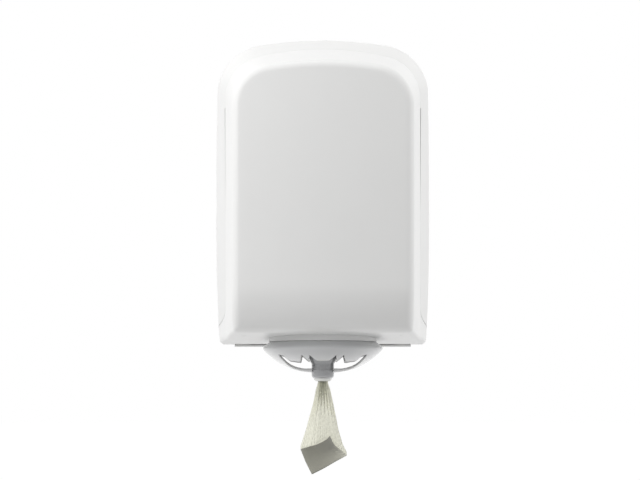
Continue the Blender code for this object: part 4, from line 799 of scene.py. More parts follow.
@dataclass
class Housing:
    """The rear housing: back wall, side frame, ribs, hinge lugs, screw holes and the lip behind the seam."""

    form: BodyForm
    back_round: float = 1.2 * MM
    lip_wall: float = 1.6 * MM
    lip_reach: float = 7 * MM
    lip_clearance: float = 1.2 * MM
    lip_root: float = 6 * MM
    back_lip: float = 4 * MM
    grip_top: float = 109 * MM
    grip_bottom: float = -33 * MM
    grip_width: float = 4.6 * MM
    lug_inner: float = 100 * MM
    lug_width: float = 12 * MM
    lug_radius: float = 7.5 * MM
    pin_radius: float = 2.5 * MM
    rib_x: float = 48 * MM
    rib_cross_z: float = 100 * MM
    rib_reach: float = 131.5 * MM
    rib_width: float = 2 * MM
    rib_height: float = 5 * MM
    screw_x: float = 75 * MM
    screw_z: float = 140 * MM
    screw_radius: float = 3 * MM
    pad_radius: float = 9 * MM
    pad_height: float = 2 * MM
    lock_hole: float = 10.6 * MM
    lock_hole_sides: int = 64
    back_steps: int = 3
    foot_steps: int = 8
    lip_steps: int = 16

    def skin(self) -> Object:
        """Makes the housing's skin, with a closed back whose edge is slightly round."""
        form = self.form
        rings = [form.side_ring(depth, form.back_bottom) for depth in (0.0, *form.side_depths())]
        rings.append([point - Vector((0.0, form.overrun, 0.0)) for point in rings[-1]])
        bm = loft(rings)
        rim = list(bm.verts)[: len(rings[0])]
        centre = bm.verts.new((0.0, 0.0, 0.0))
        for i, vert in enumerate(rim):
            bm.faces.new((rim[i - 1], vert, centre))
        bmesh.ops.recalc_face_normals(bm, faces=bm.faces)
        shell = thicken(as_object(bm, "housing_shell"), form.wall)
        bm = bmesh.new()
        bm.from_mesh(shell.data)
        sharp = [edge for edge in bm.edges if self.on_back_edge(edge)]
        sizes = {"offset": self.back_round, "segments": self.back_steps, "profile": 0.5}
        bmesh.ops.bevel(bm, geom=sharp, affect="EDGES", **sizes)
        bm.to_mesh(shell.data)
        bm.free()
        return shell

    def on_back_edge(self, edge: BMEdge) -> bool:
        """Tells whether an edge is part of the back's outer edge."""
        flat = all(abs(vert.co.y) < WELD for vert in edge.verts)
        return flat and edge.calc_face_angle(0.0) > SHARP_ANGLE

    def front_cuts(self) -> Steps:
        """Makes the tools that end the housing at the parting line and leave its lower corners out."""
        form = self.form
        half = form.rear.half_width + form.overrun
        far = -form.seam_depth - 2 * form.overrun
        high = form.rear.top + form.overrun
        low = form.back_bottom - form.overrun
        lip_top = form.back_bottom + form.wall + form.gap
        corner_top = form.sweep_end + form.seam_gap
        outline = [(far, high), (-form.seam_depth + form.seam_gap / 2, high)]
        outline += form.sweep(form.seam_gap / 2, form.seam_gap)
        outline += [(-form.wall, corner_top), (-form.wall, lip_top), (-self.back_lip, lip_top)]
        for i in range(1, self.foot_steps + 1):
            angle = QUARTER_TURN * i / self.foot_steps
            y = -self.back_lip * math.cos(angle) - form.gap
            outline.append((y, lerp(lip_top, form.back_bottom, math.sin(angle))))
        outline += [(-form.gap, low), (far, low)]
        steps = [(Cut.AWAY, prism(outline, -half, half, "YZ"))]
        for side, _ in SIDES:
            left, right = sorted((side * (form.back_half_width + form.gap), side * half))
            corner = block((left, -form.straight_depth, low), (right, form.overrun, corner_top))
            steps.append((Cut.AWAY, corner))
        return steps

    def ribs(self) -> Steps:
        """Makes the back wall's stiffening ribs."""
        front = -self.form.wall - self.rib_height
        back = -self.form.wall + self.form.bed
        half = self.rib_width / 2
        steps = []
        for side, _ in SIDES:
            x = side * self.rib_x
            upright = block((x - half, front, -self.screw_z), (x + half, back, self.screw_z))
            z = side * self.rib_cross_z
            cross = block((-self.rib_reach, front, z - half), (self.rib_reach, back, z + half))
            steps += [(Cut.ON, upright), (Cut.ON, cross)]
        return steps

    def lugs(self) -> Steps:
        """Makes the lugs that hold the hinge pins."""
        axis = hinge_axis().yz
        over = self.form.overrun
        steps = []
        for side, _ in SIDES:
            ends = sorted((side * self.lug_inner, side * (self.lug_inner + self.lug_width)))
            nose = rod((ends[0], *axis), (ends[1], *axis), self.lug_radius)
            stem = block(
                (ends[0], axis[0], axis[1] - self.lug_radius),
                (ends[1], -self.form.wall + self.form.bed, axis[1] + self.lug_radius),
            )
            hole = rod((ends[0] - over, *axis), (ends[1] + over, *axis), self.pin_radius + self.form.gap)
            steps += [(Cut.ON, stem), (Cut.ON, nose), (Cut.AWAY, hole)]
        return steps

    def screw_pads(self) -> Steps:
        """Makes the pads and holes of the wall screws."""
        wall, over = self.form.wall, self.form.overrun
        steps = []
        for side_x, _ in SIDES:
            for side_z, _ in SIDES:
                x, z = side_x * self.screw_x, side_z * self.screw_z
                pad = rod((x, -wall + self.form.bed, z), (x, -wall - self.pad_height, z), self.pad_radius)
                hole = rod((x, over, z), (x, -over - wall, z), self.screw_radius)
                steps += [(Cut.ON, pad), (Cut.AWAY, hole)]
        return steps

    def grips(self) -> Steps:
        """Makes the tools that draw the edge back along each side, where fingers reach the cover."""
        form = self.form
        half = form.rear.half_width + form.overrun
        front = -form.seam_depth - form.overrun
        back = -form.seam_depth + form.seam_gap / 2
        outline = [(front, self.grip_top), (back + self.grip_width, self.grip_top)]
        outline += [(back, self.grip_bottom), (front, self.grip_bottom)]
        inner = form.seam.half_width - form.seam.corner
        ranges = [sorted((side * inner, side * half)) for side, _ in SIDES]
        return [(Cut.AWAY, prism(outline, *ends, "YZ")) for ends in ranges]

    def lips(self) -> Steps:
        """Makes the lip's three strips: over the arch, and down each side below the finger grip."""
        form = self.form
        under = form.wall + self.lip_clearance
        root_share = 1 - self.lip_root / (form.seam_depth - form.straight_depth)
        side_depth = form.front_depth - form.sag_top - form.sag_side - 2 * form.edge_round - form.seam_depth
        root = form.rear.toward(form.seam, root_share)
        front = form.seam.toward(form.panel, self.lip_reach / side_depth)
        stations = (
            (root.inset(form.wall / 2), form.seam_depth - self.lip_root),
            (form.seam.inset(under), form.seam_depth - form.seam_gap),
            (front.inset(under), form.seam_depth + self.lip_reach),
        )
        arch_count = Outline.CROWN_STEPS + Outline.CORNER_STEPS + 1
        strips: dict[str, Rings] = {"arch": [], "left": [], "right": []}
        shares = [i / self.lip_steps for i in range(self.lip_steps + 1)]
        heights = [lerp(self.grip_bottom, form.sweep_top, share) for share in shares]
        for outline, depth in stations:
            right = outline.half()[:arch_count]
            points = [(-x, z) for x, z in reversed(right[1:])] + right
            strips["arch"].append([Vector((x, -depth, z)) for x, z in points])
            for side, name in SIDES:
                strips[name].append([Vector((side * outline.side_x(z), -depth, z)) for z in heights])
        result = []
        for name, rows in strips.items():
            bm = bmesh.new()
            verts = [[bm.verts.new(point) for point in row] for row in rows]
            for near, far in zip(verts, verts[1:]):
                for i in range(len(near) - 1):
                    bm.faces.new((near[i], near[i + 1], far[i + 1], far[i]))
            if name != "left":
                bmesh.ops.reverse_faces(bm, faces=bm.faces)
            result.append((Cut.ON, thicken(as_object(bm, f"lip_{name}"), self.lip_wall)))
        return result

    def build(self) -> Object:
        """Builds the housing."""
        shell = self.skin()
        axis, over = lock_axis(), self.form.overrun
        hole = rod(lifted(axis, -2 * over), lifted(axis, over), self.lock_hole, self.lock_hole_sides)
        steps = self.front_cuts() + self.ribs() + self.lugs() + self.screw_pads()
        steps += [(Cut.AWAY, hole)] + self.grips() + self.lips()
        smooth(carve(shell, steps))
        return hand_over(shell, Body.REAR, SATIN_ABS, ("rear_housing",))


@dataclass
class Cover:
    """The drop-down cover: glossy shell with its underside, hinge knuckles, bowl collar and bosses."""

    form: BodyForm
    edge_steps: int = 12
    side_steps: int = 7
    hinge_round: float = 8.5 * MM
    hinge_steps: int = 24
    knuckle_radius: float = 5.5 * MM
    knuckle_depth: float = 16 * MM
    knuckle_start: float = 112.5 * MM
    pin_radius: float = 2.5 * MM
    setback: float = 10 * MM
    bowl_top: float = 8.5 * MM
    collar_radius: float = 70.5 * MM
    collar_wall: float = 3 * MM
    collar_boss: float = 4.2 * MM
    mouth_radius: float = 58 * MM
    screw_length: float = 10 * MM
    shelf_boss: float = 5 * MM
    hook_boss: float = 4 * MM

    def skin(self) -> Object:
        """Makes the cover's skin, from behind the seam to the front panel."""
        form = self.form
        rings = [form.side_ring(0.0, form.underside_rear)]
        rings += [form.side_ring(depth, form.underside_at(depth)) for depth in form.side_depths()]
        edge = []
        for i in range(self.edge_steps + 1):
            angle = lerp(form.edge_start, QUARTER_TURN, i / self.edge_steps)
            drawn = form.panel.inset(form.edge_round * (1 - math.cos(angle)))
            back = form.edge_round * (1 - math.sin(angle))
            edge.append([Vector((x, back - form.front_surface(x, z), z)) for x, z in drawn.ring()])
        for i in range(1, self.side_steps):
            share = i / self.side_steps
            rings.append([a.lerp(b, share) for a, b in zip(rings[len(form.side_depths())], edge[0])])
        bm = loft(rings + edge)
        self.close_front(bm, list(bm.verts)[-len(edge[0]) :])
        bmesh.ops.recalc_face_normals(bm, faces=bm.faces)
        return thicken(as_object(bm, "cover_shell"), form.wall)

    def close_front(self, bm: BMesh, row: list[BMVert]) -> None:
        """Closes the last ring with level rows from side to side, which follow the panel's own curve."""
        columns = 2 * Outline.BOTTOM_STEPS
        last = len(row) // 2 - Outline.BOTTOM_STEPS
        rows = []
        for i in range(1, last + 1):
            right, left = row[i], row[-i]
            level = [left]
            for j in range(1, columns):
                x, z = lerp(left.co.x, right.co.x, j / columns), right.co.z
                new = i < last
                level.append(bm.verts.new((x, -self.form.front_surface(x, z), z)) if new else row[-last - j])
            rows.append(level + [right])
        for j in range(columns):
            bm.faces.new((row[0], rows[0][j], rows[0][j + 1]))
        for near, far in zip(rows, rows[1:]):
            for j in range(columns):
                bm.faces.new((near[j], far[j], far[j + 1], near[j + 1]))

    def rear_cuts(self) -> Steps:
        """Makes the tools that start the cover at the parting line and round it at the hinge."""
        form = self.form
        axis = hinge_axis()
        half = form.rear.half_width + form.overrun
        high = form.rear.top + form.overrun
        low = form.underside_rear - form.overrun
        outline = [(form.overrun, high), (-form.seam_depth - form.seam_gap / 2, high)]
        outline += form.sweep(-form.seam_gap / 2, 0.0)
        outline += arc(axis.yz, self.hinge_round, QUARTER_TURN, -QUARTER_TURN, self.hinge_steps)[1:]
        outline += [(axis.y, low), (form.overrun, low)]
        reach = form.back_half_width + 2 * form.gap
        bay = block((-reach, axis.y - self.setback, low), (reach, form.overrun, form.sweep_end))
        return [(Cut.AWAY, prism(outline, -half, half, "YZ")), (Cut.AWAY, bay)]

    def knuckles(self) -> Steps:
        """Makes the knuckles that turn on the hinge pins."""
        form = self.form
        axis = hinge_axis()
        skin_x = form.rear.side_x(axis.z) - form.wall
        web_low = form.underside_at(form.hinge_depth + self.knuckle_radius) + form.wall / 2
        start, end = self.knuckle_start, skin_x - 2 * form.gap
        steps = []
        for side, _ in SIDES:
            knuckle = rod((side * start, *axis.yz), (side * end, *axis.yz), self.knuckle_radius)
            ends = sorted((side * (form.back_half_width + 2 * form.gap), side * (skin_x + form.bed)))
            web = block((ends[0], axis.y - self.knuckle_radius, web_low), (ends[1], axis.y, axis.z))
            hole_start = (side * (start - form.overrun), *axis.yz)
            hole_end = (side * (start + self.knuckle_depth), *axis.yz)
            hole = rod(hole_start, hole_end, self.pin_radius + form.gap)
            steps += [(Cut.ON, web), (Cut.ON, knuckle), (Cut.AWAY, hole)]
        return steps

    def collar(self) -> Steps:
        """Makes the ring that the bowl is screwed to, its bosses, and the mouth for the sheet."""
        form = self.form
        place = bowl_place()
        seat = self.bowl_top + form.gap
        top = self.bowl_top + 2 * form.overrun
        inner = self.collar_radius - self.collar_wall
        section = [(self.collar_radius, top), (self.collar_radius, seat), (inner, seat), (inner, top)]
        half = form.rear.half_width + form.overrun
        rear = form.underside_rear + form.wall / 2
        front = form.underside_front + form.wall / 2
        reach = form.underside_front_depth + form.overrun
        slope = (front - rear) / form.underside_front_depth
        above = [(0.0, rear), (-reach, rear + slope * reach), (-reach, 0.0), (0.0, 0.0)]
        pieces = [as_object(turned(section, RING_SIDES), "collar", place)]
        bores = []
        bore_top = self.bowl_top - Bowl.ring_thickness + self.screw_length + form.bed
        for spot in bowl_screw_spots():
            levels = [place @ lifted(spot, height) for height in (seat, top, 0.0, bore_top)]
            pieces.append(rod(levels[0], levels[1], self.collar_boss, BOSS_SIDES))
            bores.append((Cut.AWAY, rod(levels[2], levels[3], SCREW_HOLE, BORE_SIDES)))
        for piece in pieces:
            carve(piece, [(Cut.AWAY, prism(above, -half, half, "YZ"))])
        mouth_top = place @ Vector((0.0, 0.0, top + form.overrun))
        mouth = rod(place.translation, mouth_top, self.mouth_radius, RING_SIDES)
        return [(Cut.ON, piece) for piece in pieces] + bores + [(Cut.AWAY, mouth)]

    def bosses(self) -> Steps:
        """Makes the bosses that carry the shelf and the hook, each over or under its screws."""
        form = self.form
        steps = []
        shelf_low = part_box("roll_shelf")[1].z - form.wall - form.gap
        for name in SHELF_SCREWS:
            spot = box_middle(name)
            foot = form.underside_at(-spot.y) + form.wall / 2
            pilot = shelf_low - self.screw_length + form.wall
            steps.append((Cut.ON, post(spot, foot, shelf_low, self.shelf_boss, BOSS_SIDES)))
            steps.append((Cut.AWAY, post(spot, pilot, shelf_low + form.overrun, SCREW_HOLE, BORE_SIDES)))
        edge_depth = form.front_surface(0.0, form.panel.top) - form.edge_round
        for name in HOOK_SCREWS:
            low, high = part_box(name)
            spot = box_middle(name)
            share = (-spot.y - form.seam_depth) / (edge_depth - form.seam_depth)
            roof = lerp(form.seam.top, form.panel.top, share) - form.wall / 2
            arm_top = low.z + Screws.head_height + form.gap + form.wall
            boss = post(spot, arm_top + form.gap, roof, self.hook_boss, BOSS_SIDES)
            bore = post(spot, arm_top - form.overrun, high.z + form.gap, SCREW_HOLE, BORE_SIDES)
            steps += [(Cut.ON, boss), (Cut.AWAY, bore)]
        return steps

    def build(self) -> Object:
        """Builds the cover."""
        shell = self.skin()
        smooth(carve(shell, self.rear_cuts() + self.knuckles() + self.collar() + self.bosses()))
        return hand_over(shell, Body.COVER, GLOSS_ABS, ("front_cover",))


@dataclass
class Bowl:
    """The dispensing bowl: shouldered ring, dome with toothed windows, and two arms that hold the nozzle."""

    radius: float = 79.6 * MM
    drop: float = 31.7 * MM
    power: float = 2.7
    wall: float = 5 * MM
    thin_wall: float = 3.9 * MM
    thin_start: float = 17 * MM
    thin_end: float = 26 * MM
    top: float = 8.5 * MM
    top_radius: float = 70.5 * MM
    ring_inner: float = 58 * MM
    ring_thickness: float = 2.5 * MM
    shoulder_wall: float = 3 * MM
    hub_radius: float = 15 * MM
    groove_depth: float = 1.1 * MM
    groove_low: float = 1.2 * MM
    groove_height: float = 2.4 * MM
    arm_half_width: float = 8 * MM
    arm_fillet: float = 8 * MM
    inner_round: float = 1.2 * MM
    outer_round: float = 1.4 * MM
    tooth_round: float = 0.9 * MM
    shoulder_round: float = 4.5 * MM
    inner_share: float = 0.86
    rim_share: float = 1.5
    edge: float = 0.7 * MM
    overrun: float = 10 * MM
    least_mitre: float = 0.42
    shoulder_steps: int = 7
    outer_steps: int = 3
    inner_steps: int = 5
    dome_steps: int = 26
    corner_steps: int = 4
    edge_parts: int = 8
    segments: int = 144

    # Half of a window in plan, as shares of the bowl's radius: tongue, two teeth, horn, root of the arm
    WINDOW_HALF_SHARES = (
        *((0.103, 0.735), (0.212, 0.829), (0.221, 0.697), (0.337, 0.791), (0.359, 0.616)),
        *((0.447, 0.578), (0.546, 0.521), (0.638, 0.565), (0.710, 0.521), (0.691, 0.465)),
        *((0.621, 0.377), (0.555, 0.276), (0.508, 0.205), (0.440, 0.145)),
    )

    def height(self, radius: float) -> float:
        """Returns the height of the dome's outer surface at a radius, below the widest ring."""
        return -self.drop * (1 - (radius / self.radius) ** self.power)

    def wall_at(self, radius: float) -> float:
        """Returns the wall's thickness at a radius: whole round the nozzle, thinner further out."""
        share = (radius - self.thin_start) / (self.thin_end - self.thin_start)
        return lerp(self.wall, self.thin_wall, ease(share))

    def profile(self) -> list[Pair]:
        """Returns the bowl's section: ring, shoulder and dome outside, then back up inside."""
        shares = [i / self.dome_steps for i in range(2, self.dome_steps)]
        radii = [lerp(self.radius, self.hub_radius, share) for share in shares]
        outer = [(radius, self.height(radius)) for radius in radii]
        shoulder = [(self.top_radius, self.top), (self.radius, 0.0), outer[0]]
        rounded = softened(shoulder, self.shoulder_round, self.shoulder_steps, closed=False)[1:-1]
        inner = [(r, z + self.wall_at(r)) for r, z in reversed(outer) if r < self.radius * self.inner_share]
        hub, edge, bottom = self.hub_radius, self.edge, self.height(self.hub_radius)
        low, groove = bottom + self.groove_low, hub + self.groove_depth
        ring_low = self.top - self.ring_thickness
        return [
            (self.ring_inner, self.top),
            (self.top_radius - edge, self.top),
            (self.top_radius + edge / 2, self.top - edge),
            *rounded,
            *outer,
            (hub + edge, bottom),
            (hub, bottom + edge),
            (hub, low),
            (groove, low),
            (groove, low + self.groove_height),
            (hub, low + self.groove_height),
            (hub, bottom + self.wall - edge),
            (hub + edge, bottom + self.wall),
            *inner,
            (self.radius - self.rim_share * self.shoulder_wall, 0.0),
            (self.top_radius - self.shoulder_wall, ring_low),
            (self.ring_inner, ring_low),
        ]

    def window(self, toward: int) -> list[Pair]:
        """Returns the corners of a window, in front of the arms (-1) or behind them (1)."""
        half = [(x * self.radius, y * self.radius) for x, y in self.WINDOW_HALF_SHARES]
        half.append((half[-1][0] - self.arm_fillet, self.arm_half_width))
        right = [(x, toward * y) for x, y in half]
        left = [(-x, y) for x, y in reversed(right)]
        return right + left

    def grown(self, corners: list[Pair], distance: float) -> list[Pair]:
        """Moves each edge of an outline outwards, and returns the corners where the moved edges meet."""
        count = len(corners)
        pairs = [(corners[i - 1], corners[i]) for i in range(count)]
        sign = math.copysign(1.0, sum(a[0] * b[1] - b[0] * a[1] for a, b in pairs))
        result = []
        for i in range(count):
            here = Vector(corners[i])
            before = (here - Vector(corners[i - 1])).normalized()
            after = (Vector(corners[(i + 1) % count]) - here).normalized()
            normals = [Vector((edge.y, -edge.x)) * sign for edge in (before, after)]
            middle = (normals[0] + normals[1]).normalized()
            reach = distance / max(middle.dot(normals[0]), self.least_mitre)
            result.append(tuple(here + middle * reach))
        return result

    def rounded(self, corners: list[Pair]) -> list[Pair]:
        """Rounds the teeth and splits long edges, so that the outline can follow the dome."""
        soft = softened(corners, self.tooth_round, self.corner_steps)
        points = []
        for i, (x, y) in enumerate(soft):
            points.append((x, y))
            if i % (self.corner_steps + 1) == self.corner_steps:
                to_x, to_y = soft[(i + 1) % len(soft)]
                shares = [k / self.edge_parts for k in range(1, self.edge_parts)]
                points += [(lerp(x, to_x, share), lerp(y, to_y, share)) for share in shares]
        return points

    def window_tool(self, toward: int) -> Object:
        """Makes a cutter that leaves a window's edges round, in front of the arms (-1) or behind them (1)."""
        corners = self.window(toward)
        rings = []

        def level(distance: float, rise: Callable[[float], float]) -> None:
            """Adds a ring of the cutter, whose height depends on the distance from the axis."""
            outline = self.rounded(self.grown(corners, distance))
            rings.append([Vector((x, y, rise(math.hypot(x, y)))) for x, y in outline])

        level(self.outer_round, lambda radius: -self.drop - self.overrun)
        for i in range(self.outer_steps + 1):
            angle = QUARTER_TURN * i / self.outer_steps
            lift = self.outer_round * (1 - math.cos(angle))
            level(self.outer_round * (1 - math.sin(angle)), lambda radius: self.height(radius) + lift)
        for i in range(self.inner_steps + 1):
            angle = QUARTER_TURN * i / self.inner_steps
            fall = self.inner_round * (1 - math.sin(angle))
            away = self.inner_round * (1 - math.cos(angle))
            level(away, lambda radius: self.height(radius) + self.wall_at(radius) - fall)
        level(self.inner_round, lambda radius: 0.0)
        return as_object(loft(rings, closed=True), "window_tool", bowl_place())

    def build(self) -> Object:
        """Builds the bowl."""
        place = bowl_place()
        bowl = as_object(turned(self.profile(), self.segments), "bowl_dome", place)
        steps = [(Cut.AWAY, self.window_tool(toward)) for toward in (-1, 1)]
        for spot in bowl_screw_spots():
            bore = rod(place @ spot, place @ lifted(spot, 2 * self.top), SCREW_HOLE, BOSS_SIDES)
            steps.append((Cut.AWAY, bore))
        smooth(carve(bowl, steps))
        return hand_over(bowl, Body.COVER, GREY_POLYPROPYLENE, ("dispensing_bowl",))


@dataclass
class Nozzle:
    """The turning nozzle: a cup with an inner funnel, and the soft lip that grips the paper."""

    radius: float = 14.7 * MM
    bottom: float = 39 * MM
    top: float = 7.5 * MM
    flare_bottom: float = 20 * MM
    flare_top: float = 14 * MM
    funnel_radius: float = 19 * MM
    wall: float = 2.2 * MM
    floor: float = 3 * MM
    corner: float = 4 * MM
    bead: float = 0.2 * MM
    bead_low: float = -31.2 * MM
    bead_height: float = 4.4 * MM
    lip_radius: float = 11.5 * MM
    lip_length: float = 3.8 * MM
    taper: float = 2.4 * MM
    throat_radius: float = 6.8 * MM
    throat_length: float = 3 * MM
    flange_height: float = 3 * MM
    lip_wall: float = 1.5 * MM
    gap: float = 0.3 * MM
    edge: float = 0.5 * MM
    flare_ease: float = 0.1
    lip_round: float = 1.2 * MM
    round_steps: int = 12

    def cup(self) -> Object:
        """Builds the cup."""
        hole = self.lip_radius + self.gap
        inner, funnel, edge = self.radius - self.wall, self.funnel_radius, self.edge
        outside = [
            (funnel - self.wall + edge, -self.top),
            (funnel - edge, -self.top),
            (funnel, -self.top - edge),
            (funnel, -self.flare_top + edge),
            (lerp(funnel, self.radius, self.flare_ease), -self.flare_top - edge),
            (lerp(funnel, self.radius, 1 - self.flare_ease), -self.flare_bottom + edge),
            (self.radius, -self.flare_bottom - edge),
        ]
        steps = self.round_steps
        for i in range(steps + 1):
            swell = 0.5 - 0.5 * math.cos(FULL_TURN * i / steps)
            height = lerp(self.bead_low + self.bead_height, self.bead_low, i / steps)
            outside.append((self.radius + self.bead * swell, height))
        middle = (self.radius - self.corner, -self.bottom + self.corner)
        outside += arc(middle, self.corner, 0.0, -QUARTER_TURN, steps)[:-1]
        outside = [point for point in outside if point[0] > hole]
        inside = [
            (hole, -self.bottom),
            (hole, -self.bottom + self.floor),
            (inner, -self.bottom + self.floor),
            (inner, -self.flare_bottom),
            (funnel - self.wall, -self.flare_top),
            (funnel - self.wall, -self.top - edge),
        ]
        cup = as_object(turned(outside + inside, RING_SIDES), "nozzle_cup", bowl_place())
        return hand_over(smooth(cup), Body.NOZZLE, GREY_ACETAL, ("nozzle",))

    def lip(self) -> Object:
        """Builds the gripping lip."""
        seat = -self.bottom + self.floor + self.gap
        tip = -self.bottom - self.lip_length
        flange = self.radius - self.wall - self.gap
        profile = [
            (flange - self.lip_wall, seat + self.flange_height),
            (flange, seat + self.flange_height),
            (flange, seat),
            (self.lip_radius, seat),
            (self.lip_radius, tip + self.taper),
            (self.lip_radius - self.taper, tip),
            (self.throat_radius, tip),
            (self.throat_radius, tip + self.throat_length),
        ]
        lip = as_object(turned(softened(profile, self.lip_round), RING_SIDES), "nozzle_lip", bowl_place())
        return hand_over(smooth(lip), Body.NOZZLE, SOFT_RUBBER, ("nozzle_insert",))


@dataclass
class Lock:
    """The lock in the housing's top: bush, ring nut, barrel with its key recess, and lever."""

    barrel_radius: float = 8 * MM
    bush_radius: float = 10.3 * MM
    flange_radius: float = 11.5 * MM
    flange_height: float = 1 * MM
    shank_radius: float = 3.5 * MM
    recess_radius: float = 3.6 * MM
    recess_depth: float = 4 * MM
    slot_length: float = 12 * MM
    slot_width: float = 2.8 * MM
    slot_depth: float = 2.8 * MM
    gap: float = 0.3 * MM
    edge: float = 0.3 * MM
    segments: int = 72

    def turned_part(self, name: str, profile: list[Pair]) -> Object:
        """Turns a profile about the lock's upright axis."""
        axis = lock_axis()
        place = Matrix.Translation((axis.x, axis.y, 0.0))
        return as_object(turned(profile, self.segments), name, place)

    def bush(self) -> Object:
        """Builds the flanged bush."""
        low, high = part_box("lock_bush")
        seat = high.z - self.flange_height
        bore = self.barrel_radius + self.gap
        profile = [
            (bore, high.z),
            (self.flange_radius, high.z),
            (self.flange_radius, seat),
            (self.bush_radius, seat),
            (self.bush_radius, low.z),
            (bore, low.z),
        ]
        bush = self.turned_part("bush", softened(profile, self.edge, 3))
        return hand_over(smooth(bush), Body.REAR, SATIN_ABS, ("lock_bush",))

    def barrel(self) -> Object:
        """Builds the barrel with its key recess."""
        low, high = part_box("lock_barrel")
        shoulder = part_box("lock_cam")[1].z + self.gap
        floor = high.z - self.recess_depth
        profile = [
            (0.0, floor),
            (self.recess_radius, floor),
            (self.recess_radius, high.z - self.edge),
            (self.recess_radius + self.edge, high.z),
            (self.barrel_radius - self.edge, high.z),
            (self.barrel_radius, high.z - self.edge),
            (self.barrel_radius, shoulder),
            (self.shank_radius, shoulder),
            (self.shank_radius, low.z),
            (0.0, low.z),
        ]
        barrel = self.turned_part("barrel", profile)
        middle = Vector((0.0, lock_axis().y, high.z))
        half = Vector((self.slot_length / 2, self.slot_width / 2, self.slot_depth))
        smooth(carve(barrel, [(Cut.AWAY, block(middle - half, middle + half))]))
        return hand_over(barrel, Body.LOCK, GREY_ACETAL, ("lock_barrel",))

    def nut_and_lever(self) -> None:
        """Builds the ring nut and the lever from their CAD shapes, with softened edges."""
        nut = bevelled(node_copy("lock_nut", "ring_nut"), self.edge)
        hand_over(nut, Body.REAR, WHITE_POLYPROPYLENE, ("lock_nut",))
        lever = bevelled(node_copy("lock_cam", "lever"), self.edge)
        hand_over(lever, Body.LOCK, ZINC_STEEL, ("lock_cam",))

    def build(self) -> None:
        """Builds the whole lock."""
        self.bush()
        self.barrel()
        self.nut_and_lever()


def new_group(name: str, inputs: dict[str, str]) -> tuple[NodeTree, dict[str, NodeSocket]]:
    """Starts a node group with inputs of the named kinds, and returns it with their sockets."""
    tree = bpy.data.node_groups.new(name, "GeometryNodeTree")
    for label, kind in inputs.items():
        tree.interface.new_socket(label, in_out="INPUT", socket_type=f"NodeSocket{kind}")
    tree.interface.new_socket("Result", in_out="OUTPUT", socket_type="NodeSocketGeometry")
    sockets = add_node(tree, "NodeGroupInput").outputs
    return tree, {label: sockets[label] for label in inputs}


def end_group(tree: NodeTree, shape: NodeSocket, finish: NodeSocket) -> NodeTree:
    """Ends a node group with a real mesh that has its finish."""
    real = add_node(tree, "GeometryNodeRealizeInstances", {0: shape}).outputs[0]
    inputs = {"Geometry": real, "Material": finish}
    add_node(tree, "NodeGroupOutput", {0: add_node(tree, "GeometryNodeSetMaterial", inputs).outputs[0]})
    return tree


def run_tree(tree: NodeTree, mesh: Mesh, name: str, values: dict) -> Object:
    """Runs a node group on a mesh, with values for its named inputs, and keeps the result as a plain mesh."""
    obj = link_object(name, mesh)
    modifier = obj.modifiers.new("Nodes", "NODES")
    modifier.node_group = tree
    for item in tree.interface.items_tree:
        if item.in_out == "INPUT" and item.name in values:
            modifier[item.identifier] = values[item.name]
    return bake(obj)


